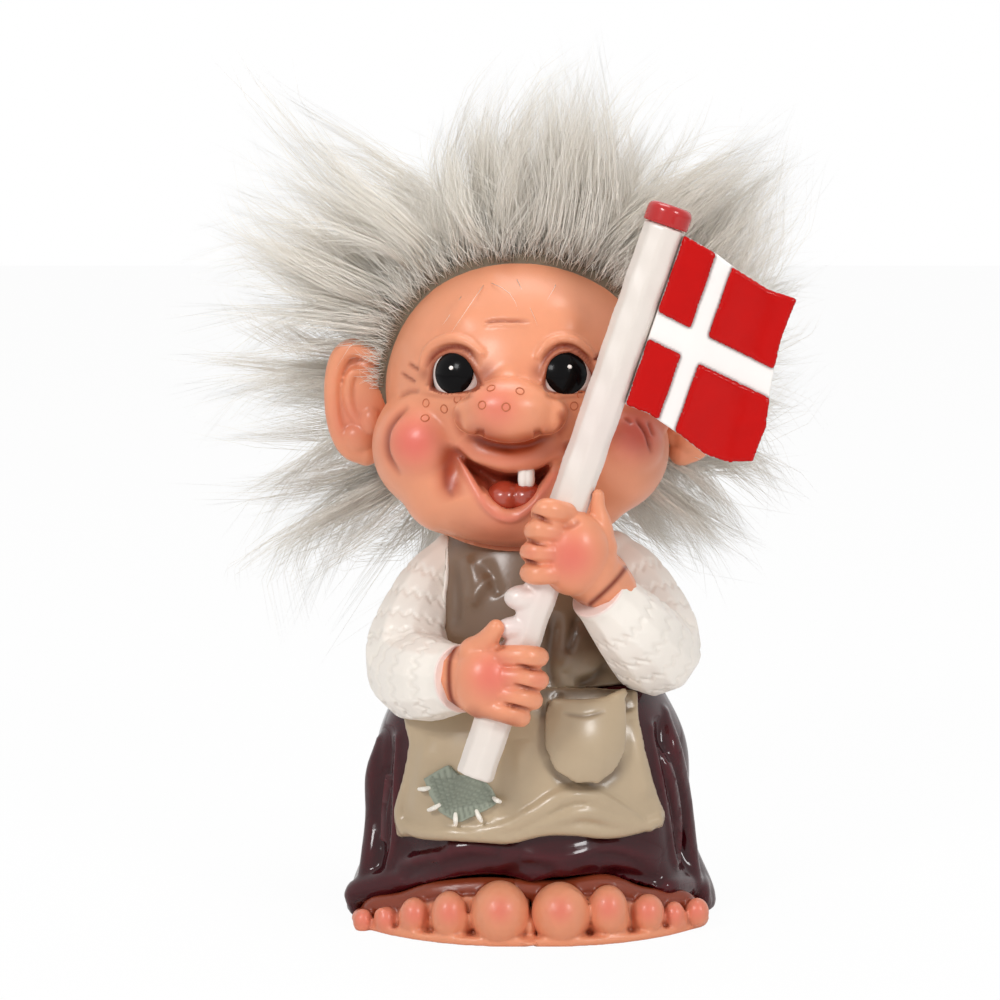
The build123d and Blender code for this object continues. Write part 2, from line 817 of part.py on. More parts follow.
def make_sleeve(shoulder, elbow, cuff, hand):
    """A full sleeve bent at the elbow, cut flat at the cuff and hollowed for the wrist."""
    reach = (Vector(*cuff) - Vector(*elbow)).normalized() * cuff_radius
    upper_arm = round_cone(shoulder, elbow, shoulder_radius, elbow_radius)
    forearm = round_cone(elbow, tuple(Vector(*cuff) + reach), elbow_radius, cuff_radius)
    with BuildPart() as sleeve:
        add(upper_arm)
        add(forearm)
        split(bisect_by=Plane(cuff, z_dir=reach), keep=Keep.BOTTOM)
        add(bell, mode=Mode.SUBTRACT)
        add(apron.part, mode=Mode.SUBTRACT)
        add(torso.part, mode=Mode.SUBTRACT)
        add(apron_bib.part, mode=Mode.SUBTRACT)
        add(apron_pocket.part, mode=Mode.SUBTRACT)
        add(hand.part, mode=Mode.SUBTRACT)
        add(staff_bore, mode=Mode.SUBTRACT)
    return sleeve


right_sleeve = make_sleeve(right_shoulder, right_elbow, right_cuff, right_hand)
right_sleeve.part.label = "right_sleeve"
left_sleeve = make_sleeve(left_shoulder, left_elbow, left_cuff, left_hand)
left_sleeve.part.label = "left_sleeve"

# Head, modelled in its own frame and then set on its plane
def mouth_face_lines():
    """The smiling outline of the open mouth, drawn in the front view."""
    left = (-mouth_half_width, -mouth_corner_drop)
    right = (mouth_half_width, -mouth_corner_drop)
    ThreePointArc(left, (0, -mouth_corner_drop - mouth_sag), right)
    ThreePointArc(right, (0, -mouth_corner_drop - mouth_sag - mouth_height), left)


def eye_axis(side):
    """The direction in which an eye looks out of the head."""
    turn = radians(side * eye_turn - eye_aside)
    lift = radians(eye_lift)
    return Vector(sin(turn) * cos(lift), -cos(turn) * cos(lift), sin(lift))


def eye_plane(side):
    """A plane at the middle of an eyeball, its Z along the look, in the head's frame."""
    centre = eye_axis(side) * (skull_radius - eye_sink)
    return Plane(tuple(centre), z_dir=eye_axis(side))


def ball_cap(ball_radius, floor):
    """The top of a ball about the origin, cut flat at the height of floor."""
    rim = sqrt(ball_radius**2 - floor**2)
    middle = (ball_radius * cos(pi / 4), ball_radius * sin(pi / 4))
    with BuildPart() as cap:
        with BuildSketch(Plane.XZ):
            with BuildLine():
                ThreePointArc((rim, floor), middle, (0, ball_radius))
                Polyline((0, ball_radius), (0, floor), (rim, floor))
            make_face()
        revolve(axis=Axis.Z)
    return cap.part


def eye_button(side, grow):
    """The front of an eyeball, flat behind, in the head's frame."""
    return eye_plane(side).location * ball_cap(eyeball_radius + grow, eye_back - grow)


def lid_ring(side):
    """The raised fold over an eye."""
    axis_line = eye_axis(side)
    origin = axis_line * (skull_radius - lid_ring_sink)
    ring_plane = Plane(tuple(origin), x_dir=Vector(0, 0, 1).cross(axis_line), z_dir=axis_line)
    with BuildPart() as ring:
        with BuildSketch(Plane.XZ):
            with Locations((lid_ring_radius, 0)):
                Circle(lid_ring_thickness)
        revolve(axis=Axis.Z, revolution_arc=lid_ring_arc)
    with BuildPart() as turned_ring:
        with Locations(Location((0, 0, 0), (0, 0, 90 - lid_ring_arc / 2))):
            add(ring.part)
    return ring_plane.location * turned_ring.part


def ear_shape(side, grow):
    """One ear: a round upper shell that runs down into a lobe, scooped in front."""
    face = Vector(side * sin(radians(ear_turn)), -cos(radians(ear_turn)), 0)
    level = Vector(0, 0, 1).cross(face)
    middle = Vector(side * ear_across, ear_y, 0)
    thickness = ear_half_thickness + grow
    scoop_reach = ear_half_thickness - ear_scoop_depth + ear_scoop_radius
    with BuildPart() as shape:
        with BuildSketch(Plane(tuple(middle - face * thickness), x_dir=level, z_dir=face)):
            with Locations((0, -ear_drop)):
                Circle(ear_radius + grow)
            with Locations((side * (lobe_across - ear_across), -lobe_drop)):
                Circle(lobe_radius + grow)
            make_hull()
        extrude(amount=2 * thickness)
        if grow == 0:
            fillet(shape.edges(), radius=ear_edge_radius)
            with Locations(tuple(middle + face * scoop_reach - Vector(0, 0, ear_drop))):
                Sphere(ear_scoop_radius, mode=Mode.SUBTRACT)
    return shape.part


plain_head = head_ball(0)
lip_ball = head_ball(lip_rise)
eye_buttons = [eye_button(side, 0) for side in (-1, 1)]
eye_sockets = [eye_button(side, iris_rise + fit_gap) for side in (-1, 1)]
lid_rings = [lid_ring(side) for side in (-1, 1)]
bridge = round_cone(
    (0, nose_y, -nose_drop), (0, bridge_top_y, bridge_top_rise), bridge_radius + fit_gap, bridge_radius
)

with BuildPart() as lips:
    with BuildSketch(Plane.XZ):
        with BuildLine():
            mouth_face_lines()
        make_face()
        offset(amount=lip_width)
    extrude(amount=front_reach)
    add(lip_ball, mode=Mode.INTERSECT)

with BuildPart() as mouth_room:
    with BuildSketch(Plane.XZ.offset(-mouth_back_y)):
        with BuildLine():
            mouth_face_lines()
        make_face()
    extrude(amount=front_reach)

with BuildPart() as tooth_shape:
    with BuildSketch(Plane.XZ.offset(-tooth_y)):
        with Locations((tooth_across, -tooth_top_drop - tooth_height / 2)):
            RectangleRounded(tooth_width, tooth_height, tooth_corner)
    extrude(amount=tooth_depth)

with BuildPart() as eye_openings:
    for side in (-1, 1):
        middle = eye_axis(side) * skull_radius
        with BuildSketch(Plane.XZ.offset(-bridge_top_y - eye_sink)):
            with BuildLine():
                left = (middle.X - eye_opening_half_width, middle.Z - eye_opening_drop)
                right = (middle.X + eye_opening_half_width, middle.Z - eye_opening_drop)
                ThreePointArc(left, (middle.X, middle.Z + eye_opening_rise), right)
                Line(right, left)
            make_face()
    extrude(amount=front_reach)

with BuildPart() as head_shape:
    add(plain_head)
    add(lips.part)
    add(bridge)
    with Locations((0, nose_y, -nose_drop)):
        Sphere(nose_radius)
    with Locations((wing_across, wing_y, -wing_drop), (-wing_across, wing_y, -wing_drop)):
        Sphere(wing_radius)
    add(lid_rings)
    add(mouth_room.part, mode=Mode.SUBTRACT)
    add(eye_openings.part, mode=Mode.SUBTRACT)
    add(eye_sockets, mode=Mode.SUBTRACT)

with BuildPart(head_plane) as placed_tooth:
    add(tooth_shape.part)

with BuildPart(head_plane) as placed_head:
    add(head_shape.part)

collar = torso_block(bib_thickness + fit_gap)

with BuildPart() as head:
    add(placed_head.part)
    add(placed_tooth.part, mode=Mode.SUBTRACT)
    add(collar, mode=Mode.SUBTRACT)
    add(left_hand.part, mode=Mode.SUBTRACT)
    with BuildSketch(Plane.XY.offset(neck_peg_top_z + fit_gap)):
        with Locations((0, torso_centre_y)):
            Circle(neck_peg_radius + fit_gap)
    extrude(amount=-neck_peg_length, mode=Mode.SUBTRACT)
head.part.label = "head"

with BuildPart() as tooth:
    add(placed_tooth.part)
tooth.part.label = "tooth"

tongue_ball_radius = (tongue_radius**2 + tongue_height**2) / (2 * tongue_height)
tongue_hump = ball_cap(tongue_ball_radius, tongue_ball_radius - tongue_height)

with BuildPart(head_plane) as tongue:
    with Locations((0, mouth_back_y - tongue_radius - fit_gap, -tongue_drop - tongue_ball_radius)):
        add(tongue_hump)
tongue.part.label = "tongue"


def make_iris(side):
    """The black glossy dome on the front of an eyeball."""
    dome_radius = eyeball_radius + iris_rise
    outer_rim = sqrt(dome_radius**2 - iris_radius**2)
    inner_rim = sqrt(eyeball_radius**2 - iris_radius**2)
    half_turn = asin(iris_radius / eyeball_radius) / 2
    outer_middle = (dome_radius * sin(half_turn), dome_radius * cos(half_turn))
    inner_middle = (eyeball_radius * sin(half_turn), eyeball_radius * cos(half_turn))
    with BuildPart() as dome:
        with BuildSketch(Plane.XZ):
            with BuildLine():
                Line((0, eyeball_radius), (0, dome_radius))
                ThreePointArc((0, dome_radius), outer_middle, (iris_radius, outer_rim))
                Line((iris_radius, outer_rim), (iris_radius, inner_rim))
                ThreePointArc((iris_radius, inner_rim), inner_middle, (0, eyeball_radius))
            make_face()
        revolve(axis=Axis.Z)
    placed_dome = eye_plane(side).location * dome.part
    with BuildPart(head_plane) as iris:
        add(placed_dome)
    return iris


with BuildPart(head_plane) as right_eyeball:
    add(eye_buttons[0])
right_eyeball.part.label = "right_eyeball"

with BuildPart(head_plane) as left_eyeball:
    add(eye_buttons[1])
left_eyeball.part.label = "left_eyeball"

right_iris = make_iris(-1)
right_iris.part.label = "right_iris"
left_iris = make_iris(1)
left_iris.part.label = "left_iris"

ears = [ear_shape(side, 0) for side in (-1, 1)]
ear_rooms = [ear_shape(side, fur_gap) for side in (-1, 1)]
bare_skull = skull_ball(0)

with BuildPart(head_plane) as right_ear:
    add(ears[0])
    add(bare_skull, mode=Mode.SUBTRACT)
right_ear.part.label = "right_ear"

with BuildPart(head_plane) as left_ear:
    add(ears[1])
    add(bare_skull, mode=Mode.SUBTRACT)
left_ear.part.label = "left_ear"

# Fur: the pelt over the back of the head, and the tufts that stand out from it
pelt_outside = skull_ball(pelt_thickness)
pelt_inside = skull_ball(fit_gap)

with BuildPart() as pelt_shape:
    add(pelt_outside)
    add(pelt_inside, mode=Mode.SUBTRACT)
    split(bisect_by=hairline_plane, keep=Keep.TOP)
    split(bisect_by=Plane.XY.offset(-pelt_low_drop), keep=Keep.TOP)
    add(ear_rooms, mode=Mode.SUBTRACT)

with BuildPart(head_plane) as fur_pelt:
    add(pelt_shape.part)
    add(plain_head, mode=Mode.SUBTRACT)
fur_pelt.part.label = "fur_pelt"

tufts = []
for turn, lean, reach in tuft_shares:
    out = Vector(
        sin(radians(turn)) * cos(radians(lean)), sin(radians(lean)), cos(radians(turn)) * cos(radians(lean))
    )
    tufts.append(
        round_cone(
            tuple(out * tuft_root_distance),
            tuple(out * (tuft_reach * reach - tuft_tip_radius)),
            tuft_root_radius,
            tuft_tip_radius,
        )
    )

with BuildPart() as fur_shape:
    Sphere(fur_core_radius)
    add(tufts)
    split(bisect_by=hairline_plane, keep=Keep.TOP)
    add(pelt_outside, mode=Mode.SUBTRACT)
    add(ear_rooms, mode=Mode.SUBTRACT)

with BuildPart(head_plane) as placed_fur:
    add(fur_shape.part)

with BuildPart() as fur:
    add(placed_fur.part)
    add(torso_block(bib_thickness + fur_gap), mode=Mode.SUBTRACT)
fur.part.label = "fur"

for piece in (
    skirt, right_foot, left_foot, torso, apron, apron_bib, apron_pocket, apron_patch,
    patch_stitches, flagstaff, staff_cap, flag_cloth, flag_fields, right_hand, left_hand,
    right_sleeve, left_sleeve, head, tooth, tongue, right_eyeball, left_eyeball, right_iris,
    left_iris, right_ear, left_ear, fur_pelt, fur,
):
    export_step(piece.part, f"parts/{piece.part.label}.step")
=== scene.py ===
import logging
from dataclasses import dataclass
from enum import Enum
from math import cos, pi, radians, sin
from typing import Optional, Sequence, Union

import bpy
import numpy as np
from mathutils import Euler, Matrix, Vector
from mathutils.bvhtree import BVHTree


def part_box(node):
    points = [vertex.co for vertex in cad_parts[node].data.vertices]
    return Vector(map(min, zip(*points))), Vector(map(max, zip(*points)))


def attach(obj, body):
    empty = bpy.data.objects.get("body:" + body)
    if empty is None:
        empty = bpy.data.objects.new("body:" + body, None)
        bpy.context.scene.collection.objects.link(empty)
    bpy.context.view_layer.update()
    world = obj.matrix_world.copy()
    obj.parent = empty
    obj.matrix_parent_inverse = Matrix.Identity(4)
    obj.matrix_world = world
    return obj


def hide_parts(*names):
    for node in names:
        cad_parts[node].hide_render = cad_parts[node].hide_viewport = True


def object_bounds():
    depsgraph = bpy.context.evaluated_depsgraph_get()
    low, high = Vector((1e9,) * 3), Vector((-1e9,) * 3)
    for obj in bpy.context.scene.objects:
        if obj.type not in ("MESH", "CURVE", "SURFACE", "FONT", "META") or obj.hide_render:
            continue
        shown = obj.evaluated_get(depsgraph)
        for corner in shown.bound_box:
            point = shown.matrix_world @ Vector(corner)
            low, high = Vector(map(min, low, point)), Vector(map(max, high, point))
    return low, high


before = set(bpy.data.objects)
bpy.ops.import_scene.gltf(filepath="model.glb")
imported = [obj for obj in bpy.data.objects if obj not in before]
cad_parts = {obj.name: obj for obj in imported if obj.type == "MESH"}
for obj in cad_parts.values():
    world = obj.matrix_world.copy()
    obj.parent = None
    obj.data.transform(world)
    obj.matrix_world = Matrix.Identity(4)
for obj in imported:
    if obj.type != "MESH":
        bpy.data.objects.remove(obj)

CAD_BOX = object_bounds()
METRES = 0.001
STRAND_SIDES = 3
WHITE = (1.0, 1.0, 1.0, 1.0)

Px = tuple[float, float]
Point = tuple[float, float, float]
Colour = tuple[float, float, float]
Size = Union[float, Point]
Radii = Union[float, Sequence[float]]
Batch = tuple[np.ndarray, np.ndarray, np.ndarray, np.ndarray]

log = logging.getLogger("troll")


class Slot(Enum):
    """The material slot names that the finishes carry."""

    SKIN = "skin_paint"
    BLOUSE = "blouse_paint"
    APRON = "apron_paint"
    PATCH = "patch_paint"
    STITCH = "stitch_paint"
    SKIRT = "skirt_paint"
    STAFF = "staff_paint"
    CAP = "cap_paint"
    FLAG_WHITE = "flag_white"
    FLAG_RED = "flag_red"
    EYE_WHITE = "eye_white"
    EYE_BLACK = "eye_black"
    TOOTH = "tooth_white"
    TONGUE = "tongue_paint"
    PELT = "pelt"
    FUR = "fur"


class Side(Enum):
    """A side of the figure, as the viewer of its front sees it."""

    LEFT = -1
    RIGHT = 1


# The photo's frame


@dataclass(frozen=True)
class PhotoView:
    """The photo's camera, which turns a place in its frame into a place on the figure.

    Lengths are millimetres and the frame is a square of 1000 pixels.
    """

    distance: float = 600.0
    elevation: float = radians(8.0)
    aim: Point = (-5.1, 0.0, 70.3)
    focal: float = 3529.4
    middle: float = 500.0
    nearer_front: float = 25.0

    def eye(self) -> Vector:
        """Return the camera's place."""
        back = Vector((0.0, -cos(self.elevation), sin(self.elevation)))
        return Vector(self.aim) + back * self.distance

    def ray(self, u: float, v: float) -> Vector:
        """Return the unit direction of the line of sight through a pixel.

        Args:
            u: Pixels from the left edge.
            v: Pixels from the top edge.

        Returns:
            The direction from the camera.
        """
        forward = Vector((0.0, cos(self.elevation), -sin(self.elevation)))
        up = Vector((0.0, sin(self.elevation), cos(self.elevation)))
        across = Vector((1.0, 0.0, 0.0)) * ((u - self.middle) / self.focal)
        return (forward + across + up * ((self.middle - v) / self.focal)).normalized()

    def at(self, u: float, v: float, depth: float) -> Vector:
        """Return the point that a pixel shows in the upright plane y = depth."""
        eye, ray = self.eye(), self.ray(u, v)
        return eye + ray * ((depth - eye.y) / ray.y)

    def pixels(self, points: np.ndarray) -> np.ndarray:
        """Return where points fall in the photo's frame.

        Args:
            points: Rows of x, y, z in millimetres.

        Returns:
            Rows of u, v.
        """
        away = points - np.array(self.eye())
        c, s = cos(self.elevation), sin(self.elevation)
        deep = away[:, 1] * c - away[:, 2] * s
        rise = away[:, 1] * s + away[:, 2] * c
        u = self.middle + self.focal * away[:, 0] / deep
        return np.stack([u, self.middle - self.focal * rise / deep], axis=1)

    def scale(self) -> float:
        """Return how many millimetres one pixel spans near the figure's front."""
        return (self.distance - self.nearer_front) / self.focal


VIEW = PhotoView()
PIXEL = VIEW.scale()


def smooth_path(points: Sequence[Sequence[float]], steps: int) -> np.ndarray:
    """Run a smooth line through rows of numbers.

    Args:
        points: Rows, such as x, y, z and a radius.
        steps: How many stretches each span is divided into.

    Returns:
        The rows of the smooth line.
    """
    rows = np.array(points, dtype=float)
    ends = np.vstack([2 * rows[0] - rows[1], rows, 2 * rows[-1] - rows[-2]])
    out = []
    for i in range(len(rows) - 1):
        a, b, c, d = ends[i:i + 4]
        for k in range(steps):
            t = k / steps
            out.append(0.5 * (2 * b + (c - a) * t + (2 * a - 5 * b + 4 * c - d) * t * t
                              + (3 * b - a - 3 * c + d) * t ** 3))
    out.append(rows[-1])
    return np.array(out)


def closed(outline: Sequence[Px]) -> np.ndarray:
    """Return a smooth line round an outline, back to its first pixel."""
    return smooth_path([*outline, outline[0]], 4)


def path_reach(places: np.ndarray, path: np.ndarray) -> tuple[np.ndarray, np.ndarray]:
    """Measure how far places lie from a path, and beside which share of it.

    Args:
        places: Rows of u, v.
        path: Rows of u, v.

    Returns:
        The distance in millimetres and the share from 0 to 1, for each place.
    """
    best = np.full(len(places), 1e9)
    share = np.zeros(len(places))
    count = len(path) - 1
    for i in range(count):
        start, span = path[i], path[i + 1] - path[i]
        t = np.clip(((places - start) @ span) / max(float(span @ span), 1e-9), 0.0, 1.0)
        gap = np.linalg.norm(places - start - t[:, None] * span, axis=1)
        near = gap < best
        best[near] = gap[near]
        share[near] = (i + t[near]) / count
    return best * PIXEL, share


def inside(places: np.ndarray, outline: np.ndarray) -> np.ndarray:
    """Tell which places lie inside a closed outline.

    Args:
        places: Rows of u, v.
        outline: Rows of u, v.

    Returns:
        True for each place inside.
    """
    hit = np.zeros(len(places), dtype=bool)
    u, v = places[:, 0], places[:, 1]
    for (u0, v0), (u1, v1) in zip(outline, np.roll(outline, -1, axis=0)):
        if v0 != v1:
            hit ^= ((v0 > v) != (v1 > v)) & (u < (u1 - u0) * (v - v0) / (v1 - v0) + u0)
    return hit


# Finishes


def rgb(red: int, green: int, blue: int) -> Colour:
    """Return a linear colour from display values of 0 to 255."""
    shares = (red / 255, green / 255, blue / 255)
    return tuple(s / 12.92 if s <= 0.04045 else ((s + 0.055) / 1.055) ** 2.4 for s in shares)


def add_node(tree: bpy.types.NodeTree, kind: str, inputs: dict, **settings: object) -> bpy.types.Node:
    """Add one shader node.

    Args:
        tree: The material's or the world's tree.
        kind: The node's type, without the words that all of them start with.
        inputs: A value or another node's output for each input, by name or number.
        settings: The node's settings by name.

    Returns:
        The node.
    """
    node = tree.nodes.new("ShaderNode" + kind)
    for name, value in settings.items():
        setattr(node, name, value)
    for name, value in inputs.items():
        if isinstance(value, bpy.types.NodeSocket):
            tree.links.new(value, node.inputs[name])
        else:
            node.inputs[name].default_value = value
    return node


@dataclass(frozen=True)
class Layer:
    """A second paint, laid on where a painted attribute of the piece says."""

    attribute: str
    colour: Colour
    strength: float = 1.0


@dataclass(frozen=True)
class Finish:
    """A brushed paint: its colour, the layers over it, which include painted shade and painted highlights,
    its mottling, grain and gloss.
    """

    name: str
    slot: Slot
    colour: Colour
    roughness: float = 0.4
    coat: float = 0.0
    coat_roughness: float = 0.1
    layers: tuple[Layer, ...] = ()
    mottle: float = 0.08
    mottle_scale: float = 260.0
    grain: float = 0.15
    grain_scale: float = 2600.0
    grain_height: float = 0.0001
    subsurface: float = 0.0
    subsurface_reach: Point = (0.0020, 0.0008, 0.0004)
    sheen: float = 0.0
    specular: float = 0.5

    def material(self) -> bpy.types.Material:
        """Build the material, or find it if it is built already.

        Returns:
            The material.
        """
        known = bpy.data.materials.get(self.name)
        if known:
            return known
        made = bpy.data.materials.new(self.name)
        made.use_nodes = True
        tree = made.node_tree
        shader = tree.nodes["Principled BSDF"]
        for name, value in (("Roughness", self.roughness), ("Coat Weight", self.coat),
                            ("Coat Roughness", self.coat_roughness), ("Subsurface Weight", self.subsurface),
                            ("Subsurface Radius", self.subsurface_reach), ("Sheen Weight", self.sheen),
                            ("Specular IOR Level", self.specular)):
            shader.inputs[name].default_value = value
        place = add_node(tree, "TexCoord", {}).outputs["Object"]
        mottle = add_node(tree, "TexNoise", {"Vector": place, "Scale": self.mottle_scale, "Detail": 3.0})
        dark = (*(c * (1 - self.mottle) for c in self.colour), 1.0)
        pale = (*(min(1.0, c * (1 + self.mottle)) for c in self.colour), 1.0)
        mix = add_node(tree, "Mix", {0: mottle.outputs["Fac"], 6: dark, 7: pale}, data_type="RGBA")
        for layer in self.layers:
            read = add_node(tree, "Attribute", {}, attribute_name=layer.attribute)
            strength = add_node(tree, "Math", {0: read.outputs["Fac"], 1: layer.strength},
                                operation="MULTIPLY", use_clamp=True)
            mix = add_node(tree, "Mix", {0: strength.outputs[0], 6: mix.outputs[2], 7: (*layer.colour, 1.0)},
                           data_type="RGBA")
        tree.links.new(mix.outputs[2], shader.inputs["Base Color"])
        if self.grain:
            grain = add_node(tree, "TexNoise", {"Vector": place, "Scale": self.grain_scale, "Detail": 4.0})
            bump = add_node(tree, "Bump", {"Strength": self.grain, "Distance": self.grain_height,
                                           "Height": grain.outputs["Fac"]})
            tree.links.new(bump.outputs["Normal"], shader.inputs["Normal"])
        return made


# Skin: the last layer, a dark brown, is painted shade in hollows and creases, round the eyes, between fingers
# and toes and under the jaw, partly the figure's brown lining paint; the layer before it is painted shade on
# the insteps under the skirt's hem.
SKIN = Finish("troll_skin", Slot.SKIN, rgb(229, 151, 114), 0.36, 0.14, 0.2, (
    Layer("blush", rgb(218, 82, 84), 0.9), Layer("lip", rgb(224, 116, 102)), Layer("rose", rgb(168, 62, 38)),
    Layer("amber", rgb(166, 60, 18)), Layer("ochre", rgb(120, 42, 14)), Layer("wash", rgb(128, 42, 10))),
    mottle=0.05, subsurface=0.06, specular=0.35)
RING = Finish("troll_freckle", Slot.SKIN, rgb(190, 104, 64), 0.5, mottle=0.15)
# Blouse: the tan layer is painted shade in the knit's grooves.
BLOUSE = Finish("troll_blouse", Slot.BLOUSE, rgb(244, 236, 226), 0.4, 0.15, 0.25, (
    Layer("blush", rgb(226, 170, 166), 0.6), Layer("wash", rgb(176, 146, 116), 0.6)), mottle=0.03)
# Apron: the darkest brown layer is painted shade in the creases, under the pocket and where the bib meets the
# apron.
APRON = Finish("troll_apron", Slot.APRON, rgb(182, 161, 132), 0.32, 0.3, 0.2, (
    Layer("shade", rgb(118, 90, 68)), Layer("wash", rgb(74, 52, 34), 0.85)), mottle=0.06, specular=0.4)
# Patch: the dark layer is painted shade in the grooves between the pressed threads.
PATCH = Finish("troll_patch", Slot.PATCH, rgb(144, 150, 134), 0.55,
               layers=(Layer("wash", rgb(62, 66, 54)),), mottle=0.12)
STITCH = Finish("troll_stitch", Slot.STITCH, rgb(242, 236, 224), 0.5, mottle=0.05)
# Skirt: the near-black layer is painted shade in the folds' hollows, and the wine-red layer is a painted
# highlight on the folds' ridges.
SKIRT = Finish("troll_skirt", Slot.SKIRT, rgb(56, 7, 14), 0.16, 0.36, 0.04, (
    Layer("wash", rgb(18, 2, 5)), Layer("rub", rgb(112, 20, 34), 0.75)), mottle=0.3, mottle_scale=140.0,
    grain=0.5, grain_scale=300.0, specular=0.16)
# Staff: the pink layer is painted shade beside the fists and in front of the face, and the tan layer is
# painted shade in the hollows.
STAFF = Finish("troll_staff", Slot.STAFF, rgb(230, 220, 211), 0.34, 0.25, 0.2, (
    Layer("blush", rgb(228, 186, 190), 0.6), Layer("wash", rgb(188, 156, 134), 0.8)), mottle=0.03)
CAP = Finish("troll_cap", Slot.CAP, rgb(182, 20, 20), 0.22, 0.5, 0.08, mottle=0.05, grain=0.06, specular=0.3)
# White flag cloth: the grey layer is painted shade in the step round the raised red fields.
FLAG_WHITE = Finish("troll_flag_white", Slot.FLAG_WHITE, rgb(246, 242, 238), 0.3, 0.25, 0.15, (
    Layer("wash", rgb(150, 140, 140), 0.8),), mottle=0.02)
# Red fields: the dark red layer is painted shade in their hollows.
FLAG_RED = Finish("troll_flag_red", Slot.FLAG_RED, rgb(190, 6, 4), 0.24, 0.16, 0.1, (
    Layer("wash", rgb(104, 6, 12)),), mottle=0.08, grain=0.08, specular=0.08)
EYE_WHITE = Finish("troll_eye_white", Slot.EYE_WHITE, rgb(244, 238, 232), 0.15, 0.6, 0.05, mottle=0.02,
                   grain=0.0)
EYE_BLACK = Finish("troll_eye_black", Slot.EYE_BLACK, rgb(7, 6, 7), 0.2, 0.05, 0.04, mottle=0.3, grain=0.0,
                   specular=0.08)
TOOTH = Finish("troll_tooth", Slot.TOOTH, rgb(252, 248, 240), 0.2, 0.5, 0.08, mottle=0.03, grain=0.04)
# Tongue: the dark red layer is painted shade in its hollows.
TONGUE = Finish("troll_tongue", Slot.TONGUE, rgb(172, 66, 44), 0.25, 0.5, 0.1, (
    Layer("wash", rgb(112, 28, 18)),), mottle=0.08, subsurface=0.05)
PELT = Finish("troll_pelt", Slot.PELT, rgb(112, 98, 80), 0.8, mottle=0.2, grain=0.6, grain_scale=1200.0)
# Fur: the root colour is painted shade deep in the fur, near the strands' feet.
FUR = Finish("troll_fur", Slot.FUR, rgb(251, 246, 237), 0.5, layers=(
    Layer("root", rgb(172, 157, 136)), Layer("tint", rgb(218, 207, 190), 0.5)),
    mottle=0.03, grain=0.0, sheen=0.1, specular=0.15)


# Modelling


def deselect() -> None:
    """Leave nothing selected, so that an operator acts only on what is added next."""
    bpy.ops.object.select_all(action="DESELECT")


def only(piece: bpy.types.Object) -> None:
    """Select one object alone and make it active.

    Args:
        piece: The object.
    """
    deselect()
    piece.select_set(True)
    bpy.context.view_layer.objects.active = piece


def apply_modifier(piece: bpy.types.Object, kind: str, **settings: object) -> None:
    """Add one modifier and apply it.

    Args:
        piece: The object.
        kind: The modifier's type.
        settings: The modifier's settings by name.
    """
    only(piece)
    bpy.ops.object.modifier_add(type=kind)
    modifier = piece.modifiers[-1]
    for name, value in settings.items():
        setattr(modifier, name, value)
    bpy.ops.object.modifier_apply(modifier=modifier.name)


def linked(name: str, data: bpy.types.ID) -> bpy.types.Object:
    """Make an object of a mesh or a curve, and leave it selected alone.

    Args:
        name: The object's name.
        data: The mesh or the curve.

    Returns:
        The object.
    """
    piece = bpy.data.objects.new(name, data)
    bpy.context.collection.objects.link(piece)
    only(piece)
    return piece


def store(mesh: bpy.types.Mesh, name: str, values: np.ndarray) -> None:
    """Keep a value for each vertex of a mesh under a name that its paint reads."""
    mesh.attributes.new(name, "FLOAT", "POINT").data.foreach_set("value", values.astype(np.float32))


def dress(piece: bpy.types.Object, name: str, finish: Finish, replaced: Sequence[str] = ()) -> None:
    """Smooth, name, paint and mount one finished piece.

    Args:
        piece: The object.
        name: The piece's name.
        finish: Its paint.
        replaced: The nodes that it stands for.
    """
    only(piece)
    bpy.ops.object.shade_smooth()
    piece.name = name
    piece.data.name = name
    piece.data.materials.clear()
    piece.data.materials.append(finish.material())
    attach(piece, "root")
    if replaced:
        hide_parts(*replaced)
    log.info("%s: %d faces", name, len(piece.data.polygons))


def surface(mesh: bpy.types.Mesh, unit: float = 1.0) -> BVHTree:
    """Return a mesh's surface in millimetres, which are unit long in it."""
    places = [v.co / unit for v in mesh.vertices]
    return BVHTree.FromPolygons(places, [tuple(p.vertices) for p in mesh.polygons])


def solid_box(node: str) -> tuple[Vector, Vector]:
    """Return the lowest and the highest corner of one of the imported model's solids, in millimetres."""
    low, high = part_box(node)
    return Vector(low) / METRES, Vector(high) / METRES


def skin_hit(tree: BVHTree, u: float, v: float) -> tuple[Optional[Vector], Optional[Vector]]:
    """Find what a pixel shows on a surface.

    Args:
        tree: The surface.
        u: Pixels from the left edge.
        v: Pixels from the top edge.

    Returns:
        The place and the outward normal, or nothing where the line of sight misses.
    """
    hit, normal, _, _ = tree.ray_cast(VIEW.eye(), VIEW.ray(u, v))
    if hit is None:
        return None, None
    return hit, normal if normal.dot(VIEW.eye() - hit) > 0 else -normal


def on_skin(tree: BVHTree, path: Sequence[Px], sink: float) -> list[Vector]:
    """Lay a path of pixels on a surface.

    Args:
        tree: The surface.
        path: The pixels.
        sink: How far below the surface the path runs.

    Returns:
        The path's points, without those that miss the surface.
    """
    found = [skin_hit(tree, u, v) for u, v in path]
    return [hit - normal * sink for hit, normal in found if hit is not None]


